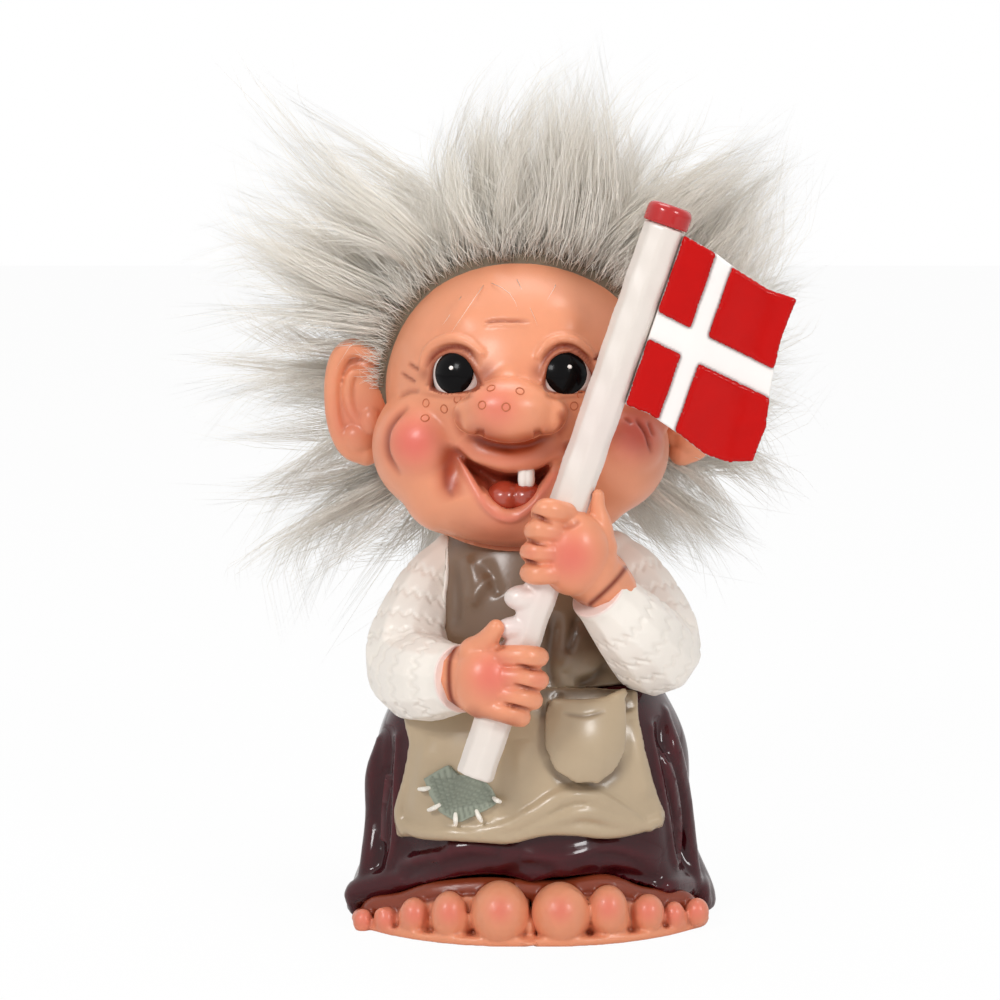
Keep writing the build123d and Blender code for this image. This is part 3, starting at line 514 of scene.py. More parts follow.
@dataclass(frozen=True)
class Panel:
    """A sheet's outline in the photo, given by its left, right, top and bottom edges."""

    left: tuple[Px, ...]
    right: tuple[Px, ...]
    top: tuple[Px, ...]
    bottom: tuple[Px, ...]

    def place(self, across: float, down: float) -> Px:
        """Return the pixel at a share across and down the sheet.

        Args:
            across: The share from the left edge.
            down: The share from the top edge.

        Returns:
            The pixel.
        """
        def along(edge: tuple[Px, ...], share: float) -> np.ndarray:
            """Return the place at a share of an edge."""
            steps = np.linspace(0, 1, len(edge))
            return np.array([np.interp(share, steps, column) for column in np.array(edge).T])
        ruled = (1 - across) * along(self.left, down) + across * along(self.right, down)
        crossed = (1 - down) * along(self.top, across) + down * along(self.bottom, across)
        corners = ((1 - across) * (1 - down) * np.array(self.left[0])
                   + across * (1 - down) * np.array(self.right[0])
                   + (1 - across) * down * np.array(self.left[-1])
                   + across * down * np.array(self.right[-1]))
        u, v = ruled + crossed - corners
        return float(u), float(v)


@dataclass(frozen=True)
class Stroke:
    """One pull of a modelling tool over the form, drawn by its place in the photo.

    The width and depth are millimetres, and a negative depth raises a ridge. The number after the depth is
    how much of its coat is left in it, which unless another coat is named is painted shade in the groove,
    partly brown lining paint, and the taper is the share of its length that each end fades over.
    """

    path: tuple[Px, ...]
    width: float
    depth: float
    wash: float = 0.0
    coat: str = "wash"
    taper: float = 0.2


@dataclass(frozen=True)
class Dab:
    """A soft round spot of paint, by its place in the photo and its radius in millimetres."""

    centre: Px
    radius: float
    strength: float
    coat: str = "blush"


@dataclass(frozen=True)
class Lump:
    """A ball of clay, by the pixel and the depth of its middle, and its radius or half lengths."""

    place: Point
    size: Size


@dataclass(frozen=True)
class Worm:
    """A roll of clay, by the pixels and depths of its line, and its radius at each."""

    line: tuple[Point, ...]
    radii: Radii


class Clay:
    """A soft form, built up from balls and rolls, fused into one skin, then marked and painted.

    Its lengths are millimetres until it is finished.
    """

    def __init__(self, name: str, *solids: str) -> None:
        """Start a form.

        Args:
            name: The name that its piece will have.
            solids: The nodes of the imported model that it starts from.
        """
        self.name = name
        self.lumps: list[bpy.types.Object] = []
        self.coats: dict[str, np.ndarray] = {}
        for node in solids:
            self.borrow(node)

    @property
    def body(self) -> bpy.types.Object:
        """Return the fused form."""
        return self.lumps[0]

    def ball(self, place: Sequence[float], size: Size, turn: Union[Point, Euler] = (0.0, 0.0, 0.0)) -> None:
        """Add a ball or a longish lump.

        Args:
            place: Its middle.
            size: Its radius, or its three half lengths.
            turn: Its turn about each axis in radians.
        """
        half = (size, size, size) if isinstance(size, (int, float)) else size
        big = 6.0
        deselect()
        bpy.ops.mesh.primitive_ico_sphere_add(
            subdivisions=4 if max(half) > big else 3, radius=1.0, location=tuple(place), rotation=tuple(turn),
            scale=tuple(half))
        self.lumps.append(bpy.context.object)

    def roll(self, points: Sequence[Sequence[float]], radii: Radii) -> None:
        """Add a rolled worm of clay along a smooth line, with round ends.

        Args:
            points: The line's points.
            radii: One radius, or one for each point.
        """
        sizes = [radii] * len(points) if isinstance(radii, (int, float)) else radii
        rows = smooth_path([(*p, r) for p, r in zip(points, sizes)], 5)
        thinnest = 0.05
        curve = bpy.data.curves.new(self.name, "CURVE")
        curve.dimensions = "3D"
        curve.bevel_depth = 1.0
        curve.bevel_resolution = 3
        curve.use_fill_caps = True
        spline = curve.splines.new("POLY")
        spline.points.add(len(rows) - 1)
        for point, row in zip(spline.points, rows):
            point.co = (*row[:3], 1.0)
            point.radius = max(float(row[3]), thinnest)
        linked(self.name, curve)
        bpy.ops.object.convert(target="MESH")
        self.lumps.append(bpy.context.object)
        for row in (rows[0], rows[-1]):
            self.ball(row[:3], max(float(row[3]), thinnest))

    def press(self, *forms: Union[Lump, Worm]) -> None:
        """Add lumps and worms by their places in the photo.

        Args:
            forms: The lumps and worms.
        """
        for form in forms:
            if isinstance(form, Lump):
                self.ball(VIEW.at(*form.place), form.size)
            else:
                self.roll([VIEW.at(*place) for place in form.line], form.radii)

    def borrow(self, node: str) -> None:
        """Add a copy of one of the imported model's solids, with its doubles merged.

        Args:
            node: The node's name.
        """
        mesh = bpy.data.objects[node].data.copy()
        mesh.materials.clear()
        mesh.transform(Matrix.Scale(1 / METRES, 4))
        self.lumps.append(linked(self.name, mesh))
        bpy.ops.object.mode_set(mode="EDIT")
        bpy.ops.mesh.select_all(action="SELECT")
        bpy.ops.mesh.remove_doubles(threshold=0.001)
        bpy.ops.object.mode_set(mode="OBJECT")

    def sheet(self, corners: Panel, under: BVHTree, lift: float, thickness: float,
              bulge: float = 0.0) -> None:
        """Add a sheet that lies on a surface, seen from the front in a given outline.

        Args:
            corners: The outline.
            under: The surface that it lies on.
            lift: How far its edge stands off that surface.
            thickness: Its thickness.
            bulge: How much further its middle stands off.
        """
        deselect()
        bpy.ops.mesh.primitive_grid_add(x_subdivisions=64, y_subdivisions=48, size=2.0)
        piece = bpy.context.object
        last = Vector((0.0, 0.0, 0.0))
        for vertex in piece.data.vertices:
            across, down = (vertex.co.x + 1) / 2, (1 - vertex.co.y) / 2
            hit, normal = skin_hit(under, *corners.place(across, down))
            swell = max(0.0, sin(pi * across) * sin(pi * min(1.0, down * 0.8 + 0.2))) ** 0.7
            if hit is not None:
                last = hit + normal * (lift + bulge * swell)
            vertex.co = last
        piece.data.update()
        apply_modifier(piece, "SMOOTH", factor=0.5, iterations=4)
        apply_modifier(piece, "SOLIDIFY", thickness=thickness, offset=0.0)
        self.lumps.append(piece)

    def join(self) -> None:
        """Make one object of the lumps, with its place in its mesh."""
        deselect()
        for lump in self.lumps:
            lump.select_set(True)
        bpy.context.view_layer.objects.active = self.lumps[0]
        if len(self.lumps) > 1:
            bpy.ops.object.join()
        bpy.ops.object.transform_apply(location=True, rotation=True, scale=True)
        self.lumps = [bpy.context.view_layer.objects.active]

    def fuse(self, voxel: float, rounds: int) -> None:
        """Fuse every lump into one skin and smooth it.

        Args:
            voxel: The skin's cell size.
            rounds: How many rounds of smoothing it gets.
        """
        self.join()
        apply_modifier(self.body, "REMESH", mode="VOXEL", voxel_size=voxel)
        apply_modifier(self.body, "SMOOTH", factor=0.5, iterations=rounds)
        self.coats = {}

    def skin(self) -> BVHTree:
        """Return the fused form's surface for finding places on it."""
        return surface(self.body.data)

    def rows(self, name: str) -> np.ndarray:
        """Read one measure of the vertices.

        Args:
            name: The measure, which is their place or their normal.

        Returns:
            A row of x, y and z for each vertex.
        """
        values = np.empty(len(self.body.data.vertices) * 3)
        self.body.data.vertices.foreach_get(name, values)
        return values.reshape(-1, 3)

    def points(self) -> np.ndarray:
        """Return the vertices' places."""
        return self.rows("co")

    def normals(self) -> np.ndarray:
        """Return the vertices' normals."""
        return self.rows("normal")

    def move(self, places: np.ndarray) -> None:
        """Put every vertex at a new place."""
        self.body.data.vertices.foreach_set("co", places.ravel())
        self.body.data.update()

    def facing(self) -> np.ndarray:
        """Measure how squarely each vertex faces the photo's camera.

        Returns:
            From 1 where it faces the camera to -1 where it faces away.
        """
        sight = np.array(VIEW.eye()) - self.points()
        sight /= np.linalg.norm(sight, axis=1)[:, None]
        return (sight * self.normals()).sum(axis=1)

    def hollow(self, outline: Sequence[Px], depth: float, lip: float = 0.9) -> None:
        """Push the surface inside an outline away from the camera.

        Args:
            outline: The opening's edge in the photo.
            depth: How deep the opening is.
            lip: How far in from its edge it reaches that depth.
        """
        edge = closed(outline)
        places = self.points()
        seen = VIEW.pixels(places)
        hit = inside(seen, edge) & (self.facing() > 0.0)
        reach, _ = path_reach(seen[hit], edge)
        fall = 1 - np.exp(-(reach / lip) ** 1.5)
        sight = np.array(VIEW.ray(*np.mean(edge, axis=0)))
        places[hit] += sight * (depth * fall)[:, None]
        self.move(places)

    def flatten(self, place: Sequence[float], direction: np.ndarray) -> None:
        """Press what lies beyond a plane back onto it.

        Args:
            place: A point of the plane.
            direction: The plane's unit normal, away from what stays.
        """
        places = self.points()
        beyond = np.maximum((places - np.array(place)) @ direction, 0.0)
        self.move(places - beyond[:, None] * direction)

    def mark(self, strokes: Sequence[Stroke]) -> None:
        """Draw strokes into the surface and leave paint in them: painted shade, partly brown lining paint,
        unless a stroke names another coat.

        Args:
            strokes: The strokes.
        """
        places, normals, facing = self.points(), self.normals(), self.facing()
        seen = VIEW.pixels(places)
        shift = np.zeros(len(places))
        edge_on = 0.05
        for stroke in strokes:
            path = smooth_path(stroke.path, 4)
            far = 3 * stroke.width / PIXEL
            low, high = path.min(axis=0) - far, path.max(axis=0) + far
            near = np.flatnonzero(((seen > low) & (seen < high)).all(axis=1) & (facing > edge_on))
            reach, share = path_reach(seen[near], path)
            ends = np.clip(np.minimum(share, 1 - share) / stroke.taper, 0, 1) ** 0.7
            bell = np.exp(-(reach / stroke.width) ** 2) * ends
            shift[near] -= stroke.depth * bell
            if stroke.wash:
                self.coat(stroke.coat)[near] = np.maximum(self.coat(stroke.coat)[near], stroke.wash * bell)
        self.move(places + normals * shift[:, None])

    def coat(self, name: str) -> np.ndarray:
        """Return one painted attribute's values, bare at first."""
        return self.coats.setdefault(name, np.zeros(len(self.body.data.vertices)))

    def brush(self, name: str, values: np.ndarray) -> None:
        """Lay paint on wherever it is stronger than what is there."""
        self.coats[name] = np.maximum(self.coat(name), values)

    def dab(self, *dabs: Dab) -> None:
        """Lay soft round spots of paint on what faces the camera.

        Args:
            dabs: The spots.
        """
        seen, lit = VIEW.pixels(self.points()), np.clip(self.facing() * 4, 0, 1)
        for spot in dabs:
            reach = np.linalg.norm(seen - np.array(spot.centre), axis=1) * PIXEL
            self.brush(spot.coat, spot.strength * np.exp(-(reach / spot.radius) ** 2.4) * lit)

    def sunken(self, rounds: int) -> np.ndarray:
        """Measure how far each vertex lies below its surroundings.

        Args:
            rounds: How widely the surroundings are averaged.

        Returns:
            The depth in millimetres, negative where it stands proud.
        """
        mesh = self.body.data
        edges = np.empty(len(mesh.edges) * 2, dtype=np.int64)
        mesh.edges.foreach_get("vertices", edges)
        first, second = edges.reshape(-1, 2).T
        count = len(mesh.vertices)
        degree = np.bincount(first, minlength=count) + np.bincount(second, minlength=count)
        places = self.points()
        mean = places.copy()
        for _ in range(rounds):
            total = np.zeros_like(mean)
            for axis in range(3):
                total[:, axis] = (np.bincount(first, mean[second, axis], count)
                                  + np.bincount(second, mean[first, axis], count))
            mean = 0.5 * mean + 0.5 * total / np.maximum(degree, 1)[:, None]
        return ((mean - places) * self.normals()).sum(axis=1)

    def shade_hollows(self, rounds: int, depth: float, strength: float) -> None:
        """Paint shade into the hollows of the surface, darker where it lies further below its surroundings.

        Args:
            rounds: How wide the hollows are.
            depth: The depth that takes the full strength.
            strength: The strongest shade it paints.
        """
        self.brush("wash", np.clip(self.sunken(rounds) / depth, 0, 1) ** 1.3 * strength)

    def finish(self, finish: Finish, *replaced: str) -> None:
        """Turn the form to metres, paint it and set it on the figure.

        Args:
            finish: Its paint.
            replaced: The nodes that it stands for.
        """
        mesh = self.body.data
        for name, values in self.coats.items():
            store(mesh, name, values)
        mesh.transform(Matrix.Scale(METRES, 4))
        dress(self.body, self.name, finish, replaced)


def carrier(voxel: float, *solids: str) -> BVHTree:
    """Fuse solids that carry a sewn piece, and leave nothing of them behind.

    Args:
        voxel: The fused skin's cell size.
        solids: The solids' nodes.

    Returns:
        Their surface.
    """
    clay = Clay("carrier", *solids)
    clay.fuse(voxel, 4)
    face = clay.skin()
    bpy.data.objects.remove(clay.body)
    return face


# The figure


@dataclass
class Head:
    """The head with its face: skull, cheeks, nose, lips and lids in one painted skin."""

    centre: Point = (-0.5, 0.5, 90.0)
    yaw: float = 6.9
    skull: float = 24.1
    pads: tuple[tuple[Point, float], ...] = (((13.6, -10.2, -9.4), 11.4), ((6.3, -12.6, 9.4), 7.8))
    chin: Point = (0.0, -14.0, -17.2)
    chin_size: Point = (16.6, 9.4, 9.2)
    jaws: tuple[Lump, ...] = (Lump((448, 487, -12.0), 7.9), Lump((584, 487, -12.0), 7.9))
    cheeks: tuple[Px, ...] = ((418, 440), (640, 438))
    cheek_size: Point = (7.6, 7.6, 7.2)
    cheek_sink: float = 6.2
    nose: tuple[Union[Lump, Worm], ...] = (
        Lump((508, 409, -25.4), (7.4, 5.4, 5.2)), Lump((510, 419, -25.7), (6.8, 4.6, 3.9)),
        Lump((475, 415, -24.0), (3.7, 3.7, 3.4)), Lump((545, 415, -24.0), (3.7, 3.7, 3.4)),
        Worm(((508, 366, -20.6), (508, 384, -21.8), (508, 402, -24.2)), (2.0, 3.0, 4.0)))
    cheek_ridge: tuple[Px, ...] = ((622, 406), (642, 413), (660, 424), (672, 436))
    mouth_opening: tuple[Px, ...] = (
        (459, 455), (478, 462), (506, 470), (534, 468), (553, 459), (550, 473), (541, 488),
        (531, 500), (521, 508), (511, 511), (501, 508), (490, 499), (480, 485), (469, 469))
    mouth_depth: float = 7.2
    lower_lip: tuple[Px, ...] = (
        (459, 458), (468, 476), (482, 501), (496, 515), (512, 519), (528, 510), (541, 495), (556, 474))
    upper_lip: tuple[Px, ...] = ((461, 448), (480, 456), (509, 461), (540, 457), (564, 447))
    eyes: tuple[tuple[Px, ...], ...] = (
        ((430, 380), (433, 364), (441, 356), (453, 353), (465, 357), (475, 370), (480, 389), (452, 394),
         (431, 391)),
        ((544, 379), (549, 362), (558, 354), (569, 352), (580, 357), (590, 368), (597, 382), (592, 391),
         (566, 394), (545, 391)))
    eye_depth: float = 5.0
    lid_line: float = 0.6
    lid_line_foot: float = 386.0
    lids: tuple[tuple[Px, ...], ...] = (
        ((421, 366), (427, 352), (438, 343), (452, 339), (467, 343), (482, 354)),
        ((537, 357), (546, 345), (560, 339), (575, 342), (587, 352), (598, 363)))
    rose_depths: Px = (-19.5, -5.0)
    rose: float = 0.85
    lip_paint: tuple[Px, Px] = ((0.85, 0.5), (1.4, 0.25))
    # Painted shade: a brown line along the upper edge of each eye's opening, and the whole socket inside it.
    lid_shade: float = 0.75
    socket_shade: float = 0.8
    # Strokes that name no coat leave painted shade in their grooves, partly brown lining paint: in the
    # wrinkles, round the nose and the mouth, under the lids, and in the wide bands along the jaw and under
    # the lower lip.
    creases: tuple[Stroke, ...] = (
        Stroke(((484, 322.5), (500, 320.5), (531, 321.5)), 0.3, 0.45, 0.6),
        Stroke(((484, 326), (500, 324.5), (531, 325.5)), 0.35, -0.25),
        Stroke(((408, 363), (419, 370.5)), 0.28, 0.45, 0.7),
        Stroke(((400, 372.5), (416, 382.5)), 0.28, 0.45, 0.7),
        Stroke(((398, 397), (408, 392), (420, 391)), 0.35, 0.5, 0.4),
        Stroke(((420, 394.5), (450, 397), (474, 396)), 0.45, 0.35, 0.3),
        Stroke(((545, 394.5), (566, 397), (592, 395)), 0.45, 0.35, 0.3),
        Stroke(((409, 405), (394.5, 419), (387, 434), (387.5, 455), (401, 476.5)), 0.45, 0.55, 0.75),
        Stroke(((456, 408), (456.5, 420), (460, 431), (466, 437)), 0.7, 0.3, 0.6, "amber"),
        Stroke(((560, 410), (564, 421), (561, 431), (555, 437)), 0.7, 0.3, 0.6, "amber"),
        Stroke(((462, 436), (478, 441), (495, 446), (511, 448), (528, 446), (543, 440), (558, 434)),
               0.6, 0.5, 0.85),
        Stroke(((476, 433), (484, 434)), 0.7, 0.35, 0.6, taper=0.05),
        Stroke(((534, 435), (542, 433)), 0.7, 0.35, 0.6, taper=0.05),
        Stroke(((456, 444), (452, 455), (449, 466), (450, 482), (456, 500)), 1.9, 0.25, 1.0, "amber"),
        Stroke(((452, 447), (459, 454), (469, 464), (479, 480), (486, 494)), 0.5, 0.4, 0.75),
        Stroke(((446, 462), (446, 482), (453, 498)), 0.5, 0.0, 0.6),
        Stroke(((462, 432), (480, 438), (500, 446), (513, 448), (530, 443), (556, 431)),
               1.9, 0.0, 0.95, "amber"),
        Stroke(((566, 440), (571, 455), (566, 470)), 0.9, 0.8, 0.6),
        Stroke(((593, 362), (605, 352)), 0.35, 0.6, 0.9),
        Stroke(((635, 418), (646, 433), (652, 454)), 0.35, 0.45, 0.7),
        Stroke(((648, 421), (654, 437)), 0.3, 0.35, 0.5),
        Stroke(((625, 418), (632, 424)), 0.3, 0.3, 0.5),
        Stroke(((423, 372), (431, 358), (441, 350), (455, 347), (469, 352), (480, 368)), 0.5, 0.4, 1.0),
        Stroke(((540, 374), (546, 358), (559, 347), (574, 348), (587, 358), (597, 374)), 0.5, 0.4, 1.0),
        Stroke(((430, 538), (460, 549), (505, 554), (560, 549), (600, 538)), 1.8, 0.6, 0.6),
        Stroke(((452, 520), (470, 533), (500, 540), (530, 534)), 1.5, 0.3, 0.25))
    # The dabs of the dark coat are painted shade in the eyes' corners and under the jaw; the rest are blush.
    dabs: tuple[Dab, ...] = (
        Dab((485, 374), 1.7, 0.6, "wash"), Dab((540, 372), 1.6, 0.6, "wash"),
        Dab((426, 374), 1.2, 0.5, "wash"), Dab((470, 541), 5.0, 0.25, "wash"),
        Dab((560, 541), 5.0, 0.25, "wash"), Dab((414, 441), 4.4, 0.75), Dab((497, 407), 3.8, 0.5),
        Dab((636, 432), 4.6, 0.7), Dab((505, 545), 6.0, 0.25), Dab((520, 500), 7.0, 0.15))

    def spot(self, side: int, place: Point) -> Vector:
        """Return a place on one side of the turned head from one in its own axes."""
        turned = Matrix.Rotation(-radians(self.yaw), 3, "Z") @ Vector((side * place[0], *place[1:]))
        return turned + Vector(self.centre)

    def build(self) -> Clay:
        """Model, mark and paint the head.

        Returns:
            The head's form, finished.
        """
        clay = Clay("head_skin")
        clay.ball(self.centre, self.skull)
        for side in Side:
            for place, radius in self.pads:
                clay.ball(self.spot(side.value, place), radius)
        clay.ball(self.spot(1, self.chin), self.chin_size)
        clay.press(*self.jaws)
        clay.fuse(0.8, 8)
        base = clay.skin()
        for place in on_skin(base, self.cheeks, self.cheek_sink):
            clay.ball(place, self.cheek_size)
        clay.press(*self.nose)
        clay.roll(on_skin(base, self.upper_lip, 0.7), (1.2, 1.9, 2.1, 1.9, 1.3))
        clay.roll(on_skin(base, self.cheek_ridge, -0.2), (1.0, 1.5, 1.6, 1.2))
        clay.fuse(0.5, 6)
        face = clay.skin()
        clay.hollow(self.mouth_opening, self.mouth_depth)
        for eye in self.eyes:
            clay.hollow(eye, self.eye_depth)
        clay.roll(on_skin(face, self.lower_lip, 0.25), (0.6, 0.75, 0.8, 0.85, 0.85, 0.8, 0.7, 0.5))
        for lid in self.lids:
            clay.roll(on_skin(face, lid, -0.15), (0.45, 0.8, 0.95, 0.98, 0.85, 0.45))
        clay.fuse(0.365, 1)
        clay.mark(self.creases)
        self.paint(clay)
        clay.finish(SKIN, "head")
        return clay

    def paint(self, clay: Clay) -> None:
        """Paint the shade in the hollows and round the eyes, partly brown lining paint, the blushes, the lips
        and the inside of the mouth.

        Args:
            clay: The head's form.
        """
        # Painted shade in the hollows of the face.
        clay.shade_hollows(10, 0.55, 0.8)
        clay.dab(*self.dabs)
        places, facing = clay.points(), clay.facing()
        seen = VIEW.pixels(places)
        for path, (width, strength) in zip((self.lower_lip, self.upper_lip), self.lip_paint):
            reach, _ = path_reach(seen, smooth_path(path, 4))
            clay.brush("lip", strength * np.exp(-(reach / width) ** 2) * (facing > -0.2))
        first, last = self.rose_depths
        deep = (places[:, 1] > first) & (places[:, 1] < last)
        clay.coats["rose"] = np.where(inside(seen, closed(self.mouth_opening)) & deep, self.rose, 0.0)
        # Painted shade round each eye: a line along the opening's edge above its foot, and the whole socket
        # inside.
        for eye in self.eyes:
            edge = closed(eye)
            reach, _ = path_reach(seen, edge)
            line = self.lid_shade * np.exp(-(reach / self.lid_line) ** 2)
            line *= (seen[:, 1] < self.lid_line_foot) * (facing > 0)
            clay.brush("wash", np.maximum(line, inside(seen, edge) * self.socket_shade))


@dataclass
class FreckleRings:
    """The little pressed rings on the nose and cheeks."""

    radius: float = 0.66
    tube: float = 0.11
    centres: tuple[Px, ...] = (
        (491, 388), (520, 391), (482, 405), (506, 407), (426, 403), (444, 409), (425, 418),
        (457.5, 399), (574, 406), (581, 395))

    def build(self, head: Clay) -> None:
        """Lay the rings on the head.

        Args:
            head: The finished head, in metres.
        """
        tree = surface(head.body.data, METRES)
        clay = Clay("freckle_rings")
        for u, v in self.centres:
            hit, normal = skin_hit(tree, u, v)
            deselect()
            bpy.ops.mesh.primitive_torus_add(
                major_segments=20, minor_segments=8, major_radius=self.radius, minor_radius=self.tube,
                location=tuple(hit), rotation=normal.to_track_quat("Z", "Y").to_euler())
            clay.lumps.append(bpy.context.object)
        clay.join()
        clay.finish(RING)


@dataclass(frozen=True)
class Eye:
    """One eye's nodes, and the pixels of its iris and its glint."""

    ball: str
    iris: str
    centre: Px
    glint: Px


@dataclass
class Eyes:
    """The eyes: the solids' balls, the black irises and a painted glint on each."""

    pair: tuple[Eye, ...] = (
        Eye("right_eyeball", "right_iris", (451.0, 372.0), (451.5, 368.0)),
        Eye("left_eyeball", "left_iris", (568.0, 372.5), (569.5, 367.0)))
    iris_radius: float = 3.3
    iris_lift: float = 0.16
    glint: Point = (0.4, 0.36, 0.16)

    def iris(self, eye: Eye) -> None:
        """Cut one iris from a slightly larger ball round the eyeball.

        Args:
            eye: The eye.
        """
        hit, normal = skin_hit(surface(bpy.data.objects[eye.ball].data, METRES), *eye.centre)
        low, high = solid_box(eye.ball)
        radius = max(high - low) / 2
        middle = hit - normal * radius
        clay = Clay(eye.iris + "_disc")
        deselect()
        bpy.ops.mesh.primitive_uv_sphere_add(
            segments=64, ring_count=32, radius=radius + self.iris_lift, location=tuple(middle),
            rotation=normal.to_track_quat("Z", "Y").to_euler())
        clay.lumps.append(bpy.context.object)
        clay.join()
        bpy.ops.object.mode_set(mode="EDIT")
        bpy.ops.mesh.select_all(action="SELECT")
        cut = middle + normal * (radius ** 2 - self.iris_radius ** 2) ** 0.5
        bpy.ops.mesh.bisect(plane_co=tuple(cut), plane_no=tuple(normal), use_fill=True, clear_inner=True)
        bpy.ops.object.mode_set(mode="OBJECT")
        clay.finish(EYE_BLACK, eye.iris)

    def build(self) -> None:
        """Dress the balls, and set the irises and the glints on them."""
        clay = Clay("eye_glints")
        for eye in self.pair:
            hit, normal = skin_hit(surface(bpy.data.objects[eye.ball].data, METRES), *eye.glint)
            clay.ball(hit + normal * self.iris_lift, self.glint, normal.to_track_quat("Z", "Y").to_euler())
        clay.fuse(0.06, 2)
        clay.finish(EYE_WHITE)
        for eye in self.pair:
            for slot in bpy.data.objects[eye.ball].material_slots:
                slot.material = EYE_WHITE.material()
            self.iris(eye)


@dataclass
class Ears:
    """The two ears: a rolled rim, a bowl with its inner fold, and a lobe."""

    middle: float = -1.0
    rim: Worm = Worm(
        ((377, 357, -0.5), (362, 349, -0.15), (348, 349, 0.2), (338, 360, 0.55), (333, 380, 0.9),
         (333, 405, 1.25), (338, 428, 1.6), (350, 446, 1.95), (366, 452, 2.3)),
        (1.4, 1.6, 1.7, 1.6, 1.5, 1.5, 1.7, 2.2, 2.4))
    bowl: tuple[Lump, ...] = (
        Lump((358, 400, 1.6), (4.2, 1.5, 8.0)), Lump((368, 402, 1.6), (3.6, 2.2, 8.4)),
        Lump((358, 438, 0.8), (2.8, 1.8, 2.6)))
    fold: Worm = Worm(((366, 372, 0.3), (352, 374, 0.3), (348, 392, 0.3), (352, 410, 0.3), (362, 424, 0.3)),
                      (0.7, 0.9, 0.9, 0.9, 0.7))
    flap: Lump = Lump((371, 420, 0.0), (1.8, 1.6, 2.4))

    def place(self, side: Side, spot: Point) -> Point:
        """Return a place on one side's ear, where spot is its mirror on the ear that the photo shows.

        Args:
            side: The side.
            spot: The pixel and the depth.

        Returns:
            The point in millimetres.
        """
        x, y, z = VIEW.at(*spot)
        return (x if side is Side.LEFT else 2 * self.middle - x), y, z

    def build(self) -> None:
        """Model and paint both ears."""
        for side, node in ((Side.LEFT, "right_ear"), (Side.RIGHT, "left_ear")):
            clay = Clay(node + "_skin")
            clay.roll([self.place(side, spot) for spot in self.rim.line], self.rim.radii)
            for lump in self.bowl:
                clay.ball(self.place(side, lump.place), lump.size)
            clay.roll([self.place(side, spot) for spot in self.fold.line], self.fold.radii)
            clay.ball(self.place(side, self.flap.place), self.flap.size)
            clay.fuse(0.3, 3)
            # Painted shade in the ear's hollows.
            clay.shade_hollows(9, 0.35, 1.0)
            clay.dab(Dab((352, 420), 4.0, 0.25))
            clay.finish(SKIN, node)


@dataclass
class Mouthful:
    """The one tooth and the tongue, each in the place of its solid."""

    cusps: tuple[Point, ...] = ((-0.3, 0.2, 0.72), (0.3, 0.15, 0.72), (-0.28, -0.3, 0.74), (0.3, -0.3, 0.74))
    tooth_depth: float = 0.95
    tooth_height: float = 0.85
    flesh: tuple[tuple[Point, Point], ...] = (
        ((-1.7, -1.0, -0.4), (3.0, 3.6, 2.6)), ((1.9, -1.0, -0.4), (3.0, 3.6, 2.6)),
        ((0.0, 0.6, -1.0), (4.4, 4.2, 2.6)))

    def build(self) -> None:
        """Model the tooth and the tongue."""
        low, high = solid_box("tooth")
        middle, half = (low + high) / 2, (high - low) / 2
        clay = Clay("tooth_enamel")
        for across, up, width in self.cusps:
            clay.ball(middle + Vector((across * half.x, 0, up * half.z)),
                      (half.x * width, half.y * self.tooth_depth, half.z * self.tooth_height))
        clay.fuse(0.15, 4)
        clay.finish(TOOTH, "tooth")
        low, high = solid_box("tongue")
        clay = Clay("tongue_flesh")
        for offset, size in self.flesh:
            clay.ball((low + high) / 2 + Vector(offset), size)
        clay.fuse(0.25, 3)
        # Painted shade in the tongue's hollows.
        clay.shade_hollows(8, 0.4, 0.8)
        clay.finish(TONGUE, "tongue")


@dataclass(frozen=True)
class Fist:
    """One fist, whose fingers close over the front of the staff."""

    node: str
    palm: tuple[Union[Lump, Worm], ...]
    fingers: tuple[tuple[Px, Px, Px], ...]
    root: Px
    depths: tuple[float, ...]
    radii: tuple[float, ...]
    thumb: Worm
    grooves: tuple[tuple[Px, ...], ...]
    marks: tuple[Stroke, ...]
    blush: tuple[Dab, ...]

    def build(self) -> None:
        """Model, mark and paint the fist."""
        clay = Clay(self.node + "_skin")
        clay.press(*self.palm)
        for knuckle, middle, end in self.fingers:
            root = (knuckle[0] + self.root[0], knuckle[1] + self.root[1])
            spots = (root, knuckle, middle, end, (end[0] + 1, end[1]))
            clay.roll([VIEW.at(*spot, depth) for spot, depth in zip(spots, self.depths)], self.radii)
        clay.press(self.thumb)
        clay.fuse(0.28, 5)
        # The grooves between the fingers take painted shade, and so does each hollow of the fist.
        clay.mark([Stroke(groove, 0.3, 0.55, 0.95, taper=0.4) for groove in self.grooves] + list(self.marks))
        clay.shade_hollows(9, 0.45, 0.7)
        clay.dab(*self.blush)
        clay.finish(SKIN, self.node)


